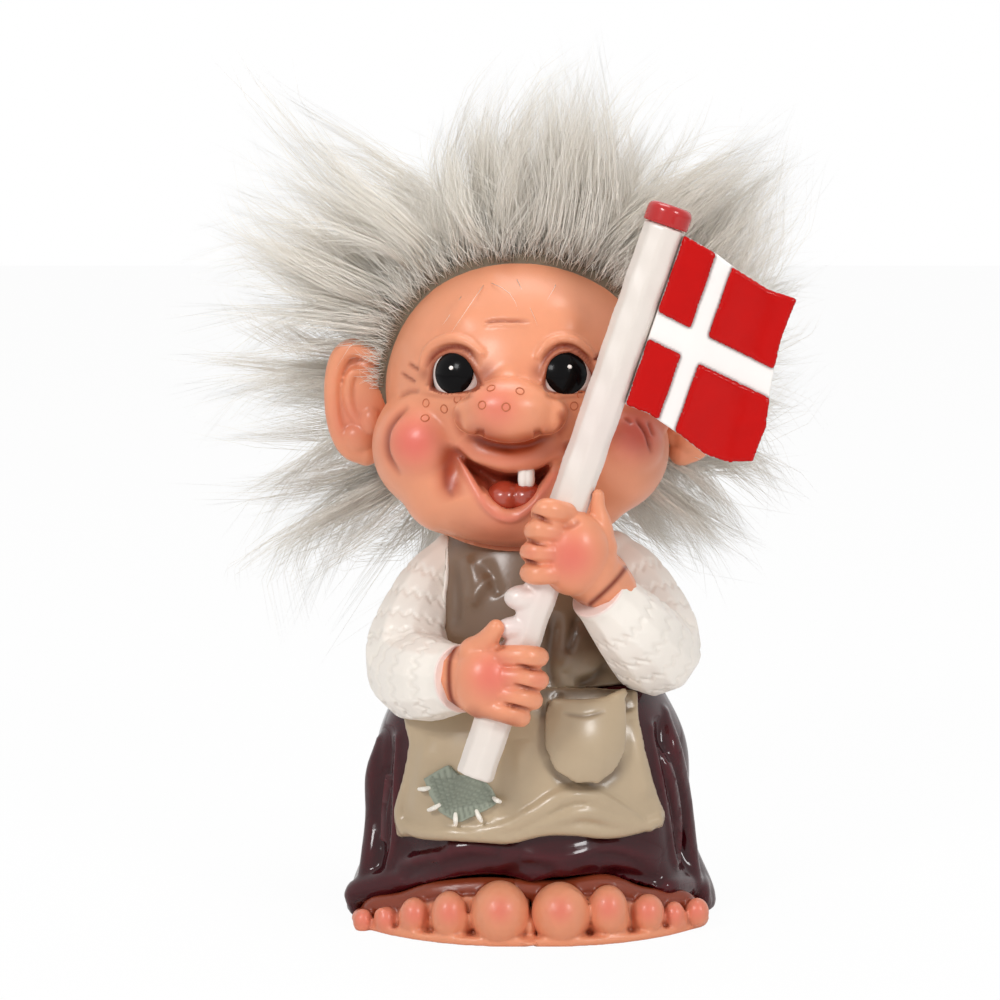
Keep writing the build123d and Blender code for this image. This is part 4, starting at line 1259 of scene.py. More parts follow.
LOWER_FIST = Fist(
    "right_hand",
    palm=(Lump((487, 681, -31.0), (5.6, 5.3, 6.4)), Lump((474, 678, -29.2), (4.0, 4.9, 5.7)),
          Worm(((457, 677, -25.5), (468, 677, -27.6), (478, 678, -29.0)), (5.3, 5.5, 5.4))),
    fingers=(((508, 656), (526, 656), (538, 657)), ((503, 676), (524, 678), (538, 680)),
             ((498, 693), (518, 697), (532, 700)), ((490, 708), (508, 713), (520, 717))),
    root=(-10, 0),
    depths=(-32.8, -34.0, -35.0, -33.8, -31.5),
    radii=(1.7, 1.85, 1.85, 1.75, 1.5),
    thumb=Worm(((476, 654, -30.5), (487, 641, -32.0), (496, 628, -33.0)), (3.0, 2.0, 1.45)),
    grooves=(((515, 665), (528, 668), (545, 671)), ((512, 684), (525, 688), (542, 692)),
             ((502, 703), (516, 707), (533, 711))),
    # Marks: painted shade in the thumb's crease, along the wrist by the cuff, and a wide band under the fist.
    marks=(Stroke(((506, 645), (494, 650)), 0.4, 0.3, 0.4),
           Stroke(((456, 645), (450, 660), (449, 680), (451, 697), (458, 711)), 0.45, 0.0, 1.0, taper=0.02),
           Stroke(((463, 712), (480, 722), (500, 728), (522, 727)), 1.5, 0.0, 0.7)),
    blush=(Dab((491, 676), 3.8, 0.65), Dab((538, 680), 1.6, 0.25)))
UPPER_FIST = Fist(
    "left_hand",
    palm=(Lump((573, 553, -31.2), (5.9, 5.0, 7.0)), Lump((588, 565, -29.2), (5.0, 5.0, 5.8)),
          Worm(((609, 590, -26.0), (601, 581, -27.0), (590, 572, -28.5)), (4.6, 5.0, 5.1))),
    fingers=(((556, 511), (546, 509), (541, 513)), ((552, 531), (540, 529), (534, 531)),
             ((550, 552), (536, 551), (530, 552)), ((550, 573), (537, 574), (530, 573))),
    root=(10, 2),
    depths=(-32.4, -34.2, -34.6, -33.0, -31.0),
    radii=(1.8, 1.9, 1.85, 1.75, 1.5),
    thumb=Worm(((598, 548, -29.5), (600, 524, -30.0), (598, 508, -30.2), (598, 495, -30.2)),
               (3.2, 2.0, 1.3, 1.05)),
    grooves=(((526, 513), (540, 518), (554, 524)), ((522, 539), (534, 542), (548, 546)),
             ((516, 559), (528, 562), (542, 565))),
    # Marks: painted shade in the thumb's crease, along the wrist by the cuff, and a wide band under the fist.
    marks=(Stroke(((580, 519), (574, 525), (562, 527)), 0.5, 0.4, 0.4),
           Stroke(((588, 606), (603, 593), (616, 580), (627, 566)), 0.45, 0.0, 1.0, taper=0.02),
           Stroke(((530, 590), (552, 600), (572, 606), (588, 604)), 1.4, 0.0, 0.7)),
    blush=(Dab((571, 556), 4.0, 0.65), Dab((531, 552), 1.4, 0.25)))


@dataclass
class Blouse:
    """The knitted blouse: its body and two puffed sleeves with zigzag rows.

    A sleeve's line runs from the shoulder to the cuff, with a radius at each point.
    """

    row: float = 4.2
    girth_radius: float = 8.0
    zigzag: float = 2.6
    zigzag_height: float = 1.3
    relief: float = 0.26
    ridge_width: float = 0.012
    plain_end: float = 3.0
    cuff_reach: float = 1.0
    cuff_lead: float = 0.5
    cuff_fade: float = 0.4
    cuff_blush: float = 0.6
    piping: tuple[Px, ...] = ((448, 538), (447, 570), (444, 605), (441, 634))
    sleeves: tuple[tuple[str, tuple[tuple[float, float, float, float], ...]], ...] = (
        ("right_sleeve", ((-12.5, -3.0, 61.0, 4.6), (-16.5, -5.0, 55.5, 6.4), (-19.6, -9.0, 47.0, 8.1),
                          (-19.2, -13.5, 43.2, 8.0), (-16.4, -21.8, 43.6, 7.1), (-11.9, -27.4, 44.7, 5.7))),
        ("left_sleeve", ((13.8, -3.0, 61.0, 4.6), (17.2, -5.0, 57.0, 6.2), (20.7, -9.5, 49.6, 7.6),
                         (20.5, -14.5, 47.0, 7.7), (16.8, -22.2, 51.8, 6.9), (11.4, -27.0, 58.4, 5.1))))

    def build(self) -> None:
        """Model and paint the blouse's body and sleeves."""
        face = carrier(0.5, "torso", "apron_bib")
        clay = Clay("blouse_body", "torso")
        clay.roll(on_skin(face, self.piping, -0.1), 0.45)
        clay.fuse(0.5, 2)
        clay.finish(BLOUSE, "torso")
        for node, line in self.sleeves:
            clay = Clay(node + "_knit")
            clay.roll([row[:3] for row in line], [row[3] for row in line])
            clay.fuse(0.36, 5)
            last, before = np.array(line[-1][:3]), np.array(line[-2][:3])
            run = (last - before) / np.linalg.norm(last - before)
            clay.flatten(last + run * self.cuff_reach, run)
            self.knit(clay, line)
            # Painted shade in the knit's grooves.
            clay.shade_hollows(4, 0.25, 0.4)
            past = (clay.points() - last) @ run - self.cuff_reach
            clay.coats["blush"] = np.clip((past + self.cuff_lead) / self.cuff_fade, 0, 1) * self.cuff_blush
            clay.finish(BLOUSE, node)

    def knit(self, clay: Clay, sleeve: Sequence[Sequence[float]]) -> None:
        """Raise zigzag rows round a sleeve.

        Args:
            clay: The sleeve's form.
            sleeve: Its line.
        """
        line = smooth_path(sleeve, 10)[:, :3]
        lengths = np.concatenate([[0.0], np.cumsum(np.linalg.norm(np.diff(line, axis=0), axis=1))])
        places, normals = clay.points(), clay.normals()
        nearest = np.linalg.norm(places[:, None, :] - line[None, :, :], axis=2).argmin(axis=1)
        out = places - line[nearest]
        tangent = np.gradient(line, axis=0)[nearest]
        tangent /= np.linalg.norm(tangent, axis=1)[:, None]
        along = lengths[nearest] + (out * tangent).sum(axis=1)
        side = np.cross(tangent, (0.0, 0.0, 1.0))
        side /= np.maximum(np.linalg.norm(side, axis=1), 1e-6)[:, None]
        angle = np.arctan2((out * np.cross(side, tangent)).sum(axis=1), (out * side).sum(axis=1))
        around = angle * self.girth_radius / self.zigzag
        zig = np.abs((around % 1.0) - 0.5) * 2
        phase = (along + zig * self.zigzag_height) / self.row
        ridge = np.exp(-((phase % 1.0) - 0.5) ** 2 / self.ridge_width)
        knitted = (along > self.plain_end) & (along < lengths[-1] - self.plain_end)
        clay.move(places - normals * (ridge * self.relief * knitted)[:, None])


@dataclass
class Skirt:
    """The glossy skirt with its long folds and the rolled hem over the toes."""

    hem: tuple[Px, ...] = (
        (350, 905), (362, 898), (401, 896), (437, 883), (483, 880), (520, 884), (542, 887), (560, 884),
        (605, 878), (636, 890), (659, 893), (687, 893), (706, 899))
    folds: tuple[tuple[Px, ...], ...] = (
        ((383, 715), (379, 740), (375, 775), (375, 815), (371, 855), (362, 885)),
        ((396, 740), (395, 790), (392, 830), (388, 860)),
        ((666, 712), (672, 750), (681, 795), (687, 845), (696, 884)),
        ((654, 730), (664, 775), (672, 820), (675, 860)))
    fold_radii: Point = (1.4, 2.6, 1.8)
    bulges: tuple[tuple[tuple[Px, ...], tuple[float, ...]], ...] = (
        (((352, 908), (362, 894), (378, 888), (398, 887), (420, 884)), (1.4, 2.2, 2.6, 2.2, 1.0)),
        (((709, 900), (703, 890), (692, 886), (674, 886), (660, 886)), (1.4, 2.2, 2.5, 1.9, 1.0)),
        (((556, 868), (590, 862), (625, 866), (650, 876)), (0.8, 1.4, 1.5, 0.9)))
    creases: tuple[Stroke, ...] = (
        Stroke(((389, 725), (386, 770), (385, 830), (380, 870)), 0.9, 1.2),
        Stroke(((658, 715), (665, 760), (677, 820), (684, 868)), 0.9, 1.2),
        Stroke(((395, 868), (430, 858), (470, 848), (520, 856)), 1.5, -0.9),
        Stroke(((500, 852), (560, 858), (610, 848), (660, 864)), 1.5, -0.9),
        Stroke(((440, 872), (490, 864), (550, 870), (600, 862)), 1.0, -0.5),
        Stroke(((400, 850), (450, 846)), 1.2, 0.6),
        Stroke(((600, 872), (640, 878), (664, 882)), 1.2, 0.7),
        Stroke(((400, 880), (420, 868), (440, 862)), 1.0, 0.5),
        Stroke(((500, 872), (530, 866), (560, 872)), 1.0, 0.5))
    # How proud a ridge stands before it takes the full painted highlight, and that highlight's strength.
    highlight_height: float = 0.5
    highlight_strength: float = 0.6

    def build(self) -> None:
        """Model and paint the skirt."""
        clay = Clay("skirt_cloth", "skirt")
        clay.fuse(0.6, 5)
        base = clay.skin()
        clay.roll(on_skin(base, self.hem, 0.5), 1.2)
        top, long, foot = self.fold_radii
        for fold in self.folds:
            found = on_skin(base, fold, 0.8)
            if len(found) > 2:
                clay.roll(found, [top] + [long] * (len(found) - 2) + [foot])
        for bulge, radii in self.bulges:
            found = on_skin(base, bulge, 0.9)
            if len(found) == len(radii):
                clay.roll(found, radii)
        clay.fuse(0.5, 4)
        clay.mark(self.creases)
        # Painted shade: near black in the folds' hollows.
        clay.shade_hollows(12, 0.8, 0.9)
        # Painted highlight: a paler wine red on the ridges of the folds, where they stand proud.
        clay.coats["rub"] = np.clip(-clay.sunken(12) / self.highlight_height, 0, 1) * self.highlight_strength
        clay.finish(SKIRT, "skirt")


@dataclass
class Apron:
    """The pinafore apron: skirt panel with a rolled hem, bib, pocket, and the sewn patch."""

    panel: Panel = Panel(
        left=((408, 690), (406, 718), (413, 745), (404, 790), (397, 815), (401, 838)),
        right=((634, 690), (636, 715), (641, 745), (652, 785), (662, 812), (660, 828)),
        top=((408, 690), (520, 690), (634, 690)),
        bottom=((401, 838), (419, 837), (483, 841), (509, 842), (547, 834), (575, 833), (603, 836),
                (660, 828)))
    hem: tuple[Px, ...] = (
        (402, 824), (419, 832), (450, 834), (483, 836), (509, 837), (530, 832), (547, 829), (575, 829),
        (603, 832), (630, 829), (658, 820))
    curls: tuple[tuple[tuple[Px, ...], tuple[float, ...]], ...] = (
        (((452, 833), (500, 829), (532, 815), (558, 799), (582, 794), (608, 804), (640, 822)),
         (0.9, 1.3, 1.6, 1.8, 1.8, 1.6, 1.0)),
        (((515, 834), (550, 822), (584, 812), (620, 822), (650, 826)), (1.1, 1.5, 1.7, 1.5, 1.1)),
        (((404, 786), (399, 812), (404, 830)), (0.8, 1.1, 1.2)),
        (((655, 782), (661, 806), (657, 822)), (0.8, 1.1, 1.1)))
    # Strokes that leave paint lay painted shade: under the pocket, round its top, and where the bib overlaps
    # the apron's top.
    creases: tuple[Stroke, ...] = (
        Stroke(((430, 735), (422, 780), (416, 815)), 1.3, -0.5),
        Stroke(((520, 740), (520, 780), (512, 815)), 1.6, -0.5),
        Stroke(((500, 745), (497, 790), (492, 820)), 1.4, 0.5),
        Stroke(((560, 690), (556, 700)), 0.8, 0.4, 0.7),
        Stroke(((632, 720), (640, 770), (648, 800)), 1.3, -0.5),
        Stroke(((548, 758), (562, 780), (588, 787), (614, 774), (622, 752)), 0.9, 0.35, 0.75),
        Stroke(((536, 700), (545, 712), (560, 700)), 1.2, 0.5, 0.6),
        Stroke(((624, 700), (630, 712)), 1.0, 0.5, 0.7),
        Stroke(((538, 694), (560, 692), (590, 691), (634, 689)), 1.5, 0.2, 0.85, taper=0.02))
    # Strokes that leave paint lay painted shade in the folds at the waist and beside the sleeves.
    bib_creases: tuple[Stroke, ...] = (
        Stroke(((466, 556), (474, 580), (470, 606)), 1.2, -0.6),
        Stroke(((484, 560), (494, 584), (500, 596)), 1.0, 0.5),
        Stroke(((455, 560), (458, 600), (455, 630)), 1.0, 0.5, 0.4),
        Stroke(((472, 610), (480, 592), (492, 574)), 0.9, -0.5),
        Stroke(((585, 625), (572, 650), (562, 672)), 1.3, -0.7),
        Stroke(((556, 612), (552, 640), (550, 672), (556, 690)), 1.2, 0.9, 0.9),
        Stroke(((578, 612), (572, 636), (566, 655)), 0.8, 0.6, 0.8),
        Stroke(((612, 662), (596, 678), (575, 688)), 1.1, 0.8, 0.8),
        Stroke(((440, 560), (443, 600), (441, 632)), 0.7, 0.2, 0.6))
    shade_foot: float = 42.0
    shade_rise: float = 6.0
    pocket: Panel = Panel(
        left=((552, 702), (546, 724), (546, 745), (556, 768)),
        right=((618, 696), (621, 724), (620, 748), (608, 770)),
        top=((552, 702), (575, 706), (598, 704), (618, 696)),
        bottom=((556, 768), (575, 780), (592, 780), (608, 770)))
    # The pocket's crease takes painted shade.
    pocket_crease: Stroke = Stroke(((562, 713), (584, 716), (606, 711)), 0.35, 0.2, 0.5)
    patch: Panel = Panel(
        left=((425, 778), (432, 795), (442, 812)),
        right=((482, 776), (492, 788), (500, 802)),
        top=((425, 778), (450, 764), (460, 774), (482, 776)),
        bottom=((442, 812), (460, 823), (482, 812), (500, 802)))
    threads: int = 12
    thread_ends: Px = (0.03, 0.97)
    stitches: tuple[tuple[Px, Px], ...] = (
        ((422, 788), (432, 787)), ((432, 809), (442, 804)), ((457, 824), (457, 813)),
        ((482, 820), (477, 810)), ((503, 801), (493, 797)))
    stitch_radii: Point = (0.34, 0.44, 0.34)
    stitch_rise: Point = (0.0, -0.4, 0.0)

    def build(self) -> None:
        """Model and paint the apron's pieces."""
        under = carrier(0.7, "skirt", "torso")
        clay = Clay("apron_cloth")
        clay.sheet(self.panel, under, 0.8, 1.5)
        clay.fuse(0.5, 3)
        face = clay.skin()
        clay.roll(on_skin(face, self.hem, 0.3), 1.3)
        for curl, radii in self.curls:
            found = on_skin(face, curl, 0.25)
            if len(found) == len(radii):
                clay.roll(found, radii)
        clay.fuse(0.38, 6)
        clay.mark(self.creases)
        # Painted shade in the apron's hollows.
        clay.shade_hollows(10, 0.7, 0.6)
        front = clay.skin()
        clay.finish(APRON, "apron")
        self.bib()
        self.sewn(front)

    def bib(self) -> None:
        """Model and paint the bib from its solid."""
        clay = Clay("bib_cloth", "apron_bib")
        clay.fuse(0.42, 4)
        clay.mark(self.bib_creases)
        # Painted shade in the bib's hollows.
        clay.shade_hollows(10, 0.6, 0.8)
        clay.coats["shade"] = np.clip((clay.points()[:, 2] - self.shade_foot) / self.shade_rise, 0.35, 0.95)
        clay.finish(APRON, "apron_bib")

    def sewn(self, front: BVHTree) -> None:
        """Model the pocket, the patch and its stitches on the apron.

        Args:
            front: The apron's surface in millimetres.
        """
        clay = Clay("pocket_cloth")
        clay.sheet(self.pocket, front, 0.9, 1.6, 1.7)
        clay.roll(on_skin(front, self.pocket.top, -1.8), (0.8, 0.9, 0.9, 0.8))
        clay.fuse(0.35, 5)
        clay.mark([self.pocket_crease])
        # Painted shade in the pocket's hollows.
        clay.shade_hollows(8, 0.5, 0.5)
        clay.finish(APRON, "apron_pocket")
        clay = Clay("patch_cloth")
        clay.sheet(self.patch, front, 0.5, 1.0)
        clay.fuse(0.3, 2)
        clay.mark(self.weave())
        # Painted shade between the patch's threads and in its hollows.
        clay.shade_hollows(5, 0.25, 0.9)
        clay.finish(PATCH, "apron_patch")
        clay = Clay("patch_thread")
        for stitch in self.stitches:
            first, last = on_skin(front, stitch, -0.95)
            clay.roll([first, (first + last) / 2 + Vector(self.stitch_rise), last], self.stitch_radii)
        clay.fuse(0.14, 2)
        clay.finish(STITCH, "patch_stitches")

    def weave(self) -> list[Stroke]:
        """Lay out the pressed threads of the patch.

        Returns:
            The threads' strokes.
        """
        paths = []
        for share in np.arange(1, self.threads) / self.threads:
            paths.append(tuple(self.patch.place(end, share) for end in self.thread_ends))
            paths.append(tuple(self.patch.place(share, end) for end in self.thread_ends))
        # Each thread's groove takes painted shade.
        return [Stroke(path, 0.2, 0.22, 0.5, taper=0.02) for path in paths]


@dataclass
class Feet:
    """The two bare feet: round toes in front of a low instep, in painted shade under the skirt's hem."""

    toes: tuple[Px, ...] = (
        (363, 921), (386, 920), (414, 916), (449, 915), (500, 913), (560, 913), (608, 910), (648, 913),
        (674, 916), (697, 912))
    half_sizes: tuple[Px, ...] = (
        (10.5, 13), (12, 14), (15, 19.5), (18.5, 25), (30, 33.5), (29.5, 32), (20.5, 26), (17, 20),
        (11.5, 15.5), (12.5, 15))
    toe_length: float = 1.05
    toe_lead: float = 0.9
    row: tuple[Px, ...] = ((0.0, -25.0), (13.0, -24.0), (19.5, -21.0), (24.0, -18.5), (30.0, -15.5))
    web: tuple[tuple[Point, Point], ...] = (
        ((-0.2, -23.5, 2.6), (1.5, 4.0, 2.6)), ((-0.2, -26.5, 0.7), (2.2, 3.4, 0.7)))
    instep_share: float = 0.72
    instep_lead: float = 2.5
    instep_slope: float = 1.5
    insteps: tuple[tuple[Px, ...], ...] = (
        ((366, 912), (376, 907), (402, 903), (437, 892), (480, 888), (511, 889)),
        ((519, 889), (560, 890), (604, 885), (636, 896), (660, 900), (682, 901), (694, 905)))
    instep_radius: float = 1.9
    instep_end: float = 1.0
    instep_setback: float = 2.6
    # Where the instep's painted shade under the hem lies, how strong it is and how soft its edge is.
    ochre_above: float = 1.6
    ochre_most: float = 0.95
    ochre_setback: float = 0.6
    ochre_slope: float = 1.6
    ochre_margin: float = 1.1
    ochre_edge: float = 0.7
    toe_blush: Px = (2.2, 0.55)
    toe_blush_rise: float = 3.0

    def toe_line(self, across: np.ndarray) -> np.ndarray:
        """Return the y of the toes' row at places across the figure."""
        places, back = np.array(self.row).T
        return np.interp(np.abs(across), places, back)

    def seen_at(self, pixel: Px, setback: float) -> Vector:
        """Return the point that a pixel shows, a little behind the toes' row.

        Args:
            pixel: The pixel.
            setback: How far behind the row it lies.

        Returns:
            The point in millimetres.
        """
        rough = VIEW.at(*pixel, self.row[0][1])
        return VIEW.at(*pixel, float(self.toe_line(rough.x)) + setback)

    def build(self) -> None:
        """Model and paint the feet from their solids."""
        toes = list(zip(self.toes, self.half_sizes))
        for node, own_toes, instep in (("right_foot", toes[:5], self.insteps[0]),
                                       ("left_foot", toes[5:], self.insteps[1])):
            clay = Clay(node + "_skin", node)
            clay.fuse(0.4, 1)
            places = clay.points()
            behind = places[:, 1] - self.toe_line(places[:, 0])
            low = np.clip((behind + self.instep_lead) / self.instep_slope, 0, 1)
            places[:, 2] *= 1 - (1 - self.instep_share) * low
            clay.move(places)
            if node == "right_foot":
                for place, size in self.web:
                    clay.ball(place, size)
            for pixel, (wide, high) in own_toes:
                half = wide * PIXEL
                clay.ball(self.seen_at(pixel, -self.toe_lead), (half, half * self.toe_length, high * PIXEL))
            line = [self.seen_at(pixel, self.instep_setback) for pixel in instep]
            radii = [self.instep_radius] * len(line)
            radii[0 if node == "right_foot" else -1] = self.instep_end
            clay.roll(line, radii)
            clay.fuse(0.3, 2)
            clay.flatten((0.0, 0.0, 0.0), np.array((0.0, 0.0, -1.0)))
            self.paint(clay, line)
            clay.finish(SKIN, node)

    def paint(self, clay: Clay, line: Sequence[Vector]) -> None:
        """Paint the shade on the instep under the skirt's hem and in the grooves between the toes, and the
        toes' blush.

        Args:
            clay: The foot's form.
            line: The instep's line.
        """
        places = clay.points()
        # Painted shade in the grooves between the toes.
        clay.shade_hollows(14, 0.35, 1.0)
        # Painted shade on the instep: behind the toes' row and along the roll under the skirt's hem, where it
        # stands high enough.
        behind = (places[:, 1] - self.toe_line(places[:, 0]) - self.ochre_setback) / self.ochre_slope
        rows = smooth_path(line, 5)
        reach = np.linalg.norm(places[:, None, :] - rows[None, :, :], axis=2).min(axis=1)
        band = np.clip((self.instep_radius + self.ochre_margin - reach) / self.ochre_edge, 0, self.ochre_most)
        dark = np.maximum(np.clip(behind, 0, self.ochre_most), band)
        clay.coats["ochre"] = dark * (places[:, 2] > self.ochre_above)
        clay.dab(*(Dab((u, v - self.toe_blush_rise), *self.toe_blush) for u, v in self.toes))


@dataclass
class Flagpole:
    """The carved staff with its knobs, its cap and the flag."""

    knobs: tuple[Lump, ...] = (
        Lump((524, 598, -31.2), (3.3, 2.2, 2.2)), Lump((514, 628, -31.4), (3.0, 2.0, 1.95)))
    knob_edge: tuple[Px, ...] = ((537, 545), (532, 560), (521, 598), (508, 641))
    wobble: float = 0.08
    waves: Px = (0.5, 0.23)
    # The staff's pink dabs are painted shade beside the fists and in front of the face.
    blush: tuple[Dab, ...] = (Dab((530, 575), 6.0, 0.4), Dab((590, 420), 8.0, 0.2), Dab((500, 620), 5.0, 0.5))
    field_growth: float = 0.3
    cross_shade: float = 1.3
    cross_line: float = 0.35

    def build(self) -> None:
        """Model the staff, and dress the cap and the flag."""
        self.staff()
        clay = Clay("cap_bead", "staff_cap")
        clay.fuse(0.25, 3)
        clay.finish(CAP, "staff_cap")
        clay = Clay("flag_panels", "flag_fields")
        clay.fuse(0.25, 3)
        clay.move(clay.points() + clay.normals() * self.field_growth)
        # Painted shade in the red fields' hollows.
        clay.shade_hollows(6, 0.3, 0.7)
        fields = clay.skin()
        clay.finish(FLAG_RED, "flag_fields")
        clay = Clay("flag_sheet", "flag_cloth")
        clay.fuse(0.28, 4)
        # Painted shade: a grey line on the white cloth round the raised red fields.
        near = np.array([fields.find_nearest(place)[3] for place in clay.points()])
        clay.coats["wash"] = np.clip(self.cross_shade - near / self.cross_line, 0, 1)
        clay.finish(FLAG_WHITE, "flag_cloth")

    def staff(self) -> None:
        """Model the staff with its knobs and paint it."""
        clay = Clay("staff_wood", "flagstaff")
        clay.fuse(0.34, 2)
        places = clay.points()
        seen = VIEW.pixels(places)
        edge_u, edge_v = np.array(self.knob_edge).T
        proud = np.clip(np.interp(seen[:, 1], edge_v, edge_u) - seen[:, 0], 0, None) * PIXEL
        places[:, 0] += proud * ((seen[:, 1] > edge_v[0]) & (seen[:, 1] < edge_v[-1]))
        clay.move(places)
        clay.press(*self.knobs)
        clay.fuse(0.34, 2)
        places = clay.points()
        first, second = self.waves
        wave = self.wobble * np.sin(places[:, 2] * first + places[:, 0]) * np.cos(places[:, 2] * second)
        clay.move(places + clay.normals() * wave[:, None])
        # Painted shade in the staff's hollows, then its pink painted shade beside the fists and in front of
        # the face.
        clay.shade_hollows(6, 0.5, 0.4)
        clay.dab(*self.blush)
        clay.finish(STAFF, "flagstaff")


@dataclass(frozen=True)
class Tuft:
    """One tuft of hair, by where its tip shows in the photo, how deep it lies and how full it is."""

    tip: Px
    depth: float
    fullness: float = 1.0


@dataclass
class Hair:
    """The glued fur: a dark pelt, short dense underfur and long pale locks."""

    centre: Point = (-0.5, 0.5, 90.0)
    yaw: float = 6.9
    root_radius: float = 24.6
    buried_radius: float = 23.4
    hairline: Point = (0.0, -14.6, 21.0)
    tilt: float = radians(24.0)
    brow_sweep: float = 3.0
    sweep_foot: float = 6.0
    sweep_rise: float = 12.0
    nape: float = -17.5
    ear_side: float = 16.5
    ear_top: float = 7.0
    lobe_side: float = 15.5
    lobe_top: float = -1.0
    ear_back: float = 4.6
    ear_foot: float = -14.0
    strands: int = 33000
    clumps: int = 850
    clump_spread: float = 7.0
    fullness_weight: float = 0.1
    aim_scatter: float = 0.05
    pull: Px = (0.68, 1.0)
    end_scatter: float = 0.07
    swing: float = 0.2
    tip_scatter: float = 1.0
    wild_share: float = 0.08
    wild_reach: float = 4.5
    long_share: float = 0.06
    long_reach: float = 1.05
    short_reach: Point = (0.44, 0.54, 0.95)
    rise: float = 0.42
    brow_band: float = 6.0
    brow_lift: float = 3.0
    lock_width: Px = (0.04, 0.07)
    underfur: int = 17000
    under_sunk: float = 0.2
    under_band: float = 5.0
    under_scatter: float = 0.32
    under_lift: float = 0.45
    under_length: Px = (6.0, 13.0)
    under_thinning: float = 0.4
    under_width: Px = (0.055, 0.085)
    by_ear: Point = (0.67, 0.19, 0.28)
    by_ear_share: float = 0.6
    seed: int = 11
    per_piece: int = 8000
    per_search: int = 4000
    proud: float = 10.5
    drawn_in: Px = (0.8, 1.0)
    kink: float = 0.5
    narrowing: float = 0.75
    dark_share: float = 0.28
    strays: tuple[tuple[Px, Px], ...] = (
        ((474, 264), (452, 340)), ((484, 262), (520, 322)), ((515, 260), (536, 338)),
        ((560, 270), (545, 306)), ((446, 276), (437, 322)))
    forehead: float = 24.1
    tufts: tuple[Tuft, ...] = (
        Tuft((226, 96), 2, 0.5), Tuft((256, 145), 4, 0.9), Tuft((214, 178), 2), Tuft((216, 232), 6, 1.1),
        Tuft((203, 290), 2, 1.3), Tuft((188, 356), 4, 1.5), Tuft((196, 436), 8, 1.5),
        Tuft((228, 504), 8, 1.4), Tuft((252, 564), 12, 1.3), Tuft((296, 622), 16, 1.1),
        Tuft((372, 680), 20, 0.5),
        Tuft((296, 98), 8, 0.5), Tuft((330, 180), 0, 0.7), Tuft((372, 66), 12, 0.4), Tuft((392, 205), 2, 0.6),
        Tuft((436, 160), -4, 0.9), Tuft((462, 116), 4, 0.9), Tuft((512, 94), 0), Tuft((546, 76), 4, 1.1),
        Tuft((588, 64), 0, 1.2), Tuft((606, 96), -4, 0.9), Tuft((640, 150), -2, 0.6), Tuft((676, 92), 6, 0.7),
        Tuft((740, 100), 10, 0.5), Tuft((768, 146), 2), Tuft((786, 158), 6, 1.1), Tuft((803, 215), 8, 0.9),
        Tuft((806, 284), 10, 1.2), Tuft((800, 366), 12, 1.3), Tuft((792, 420), 12, 1.3),
        Tuft((782, 494), 12, 1.3), Tuft((745, 545), 12, 1.3), Tuft((704, 575), 16, 1.1),
        Tuft((660, 600), 22, 0.6), Tuft((256, 236), 22, 1.2), Tuft((232, 396), 24, 1.3), Tuft((300, 530), 30),
        Tuft((420, 590), 36), Tuft((540, 606), 36, 0.8), Tuft((690, 540), 32), Tuft((762, 400), 26, 1.2),
        Tuft((752, 236), 24), Tuft((640, 130), 28), Tuft((480, 130), 34), Tuft((380, 180), 30),
        Tuft((520, 300), 46), Tuft((400, 340), 44), Tuft((640, 330), 44), Tuft((520, 450), 46))

    def turned(self) -> np.ndarray:
        """Return what turns rows in the head's own axes to the figure's."""
        return np.array(Matrix.Rotation(radians(self.yaw), 3, "Z"))

    def lift(self) -> np.ndarray:
        """Return the unit direction away from the hairline's plane."""
        return np.array((0.0, cos(self.tilt), sin(self.tilt)))

    def behind(self, spots: np.ndarray) -> np.ndarray:
        """Return how far spots, in the head's own axes, lie behind the hairline over the brow."""
        flat = (spots - np.array(self.hairline)) @ self.lift()
        return flat - self.brow_sweep * np.clip((spots[:, 2] - self.sweep_foot) / self.sweep_rise, 0, 1)

    def roots(self, count: int, chance: np.random.Generator, low: float, ear_front: float) -> np.ndarray:
        """Scatter roots over the part of the head that the pelt covers.

        Args:
            count: How many roots.
            chance: The random source.
            low: How far behind the hairline's plane the first roots lie.
            ear_front: Where the bare place round each ear begins.

        Returns:
            Unit directions from the head's middle, in the head's own axes.
        """
        kept = np.zeros((0, 3))
        while len(kept) < count:
            rows = chance.normal(size=(count * 2, 3))
            rows /= np.linalg.norm(rows, axis=1)[:, None]
            spots = rows * self.root_radius
            across, y, z = np.abs(spots[:, 0]), spots[:, 1], spots[:, 2]
            ear = (across > self.ear_side) & (y > ear_front) & (z < self.ear_top)
            lobe = (across > self.lobe_side) & (z < self.lobe_top)
            bare = (ear | lobe) & (y < self.ear_back) & (z > self.ear_foot)
            kept = np.vstack([kept, rows[(self.behind(spots) > low) & (z > self.nape) & ~bare]])
        return kept[:count]

    def build(self) -> None:
        """Dress the pelt, and grow the locks, the underfur and a few loose hairs."""
        chance = np.random.default_rng(self.seed)
        self.pelt()
        locks = self.locks(chance)
        soft = self.soft(chance) + self.stray(chance)
        self.lay("fur_lock", locks, ("fur",))
        self.lay("fur_under", soft, ())

    def pelt(self) -> None:
        """Model the hide that the hair is glued on with, and bury its front edge."""
        clay = Clay("pelt_hide", "fur_pelt")
        clay.fuse(0.7, 1)
        local = (clay.points() - np.array(self.centre)) @ self.turned().T
        sink = np.clip(1.0 - self.behind(local), 0, 1)
        reach = np.linalg.norm(local, axis=1)
        local *= (1 - sink * np.clip(reach - self.buried_radius, 0, None) / reach)[:, None]
        clay.move(local @ self.turned() + np.array(self.centre))
        clay.finish(PELT, "fur_pelt")

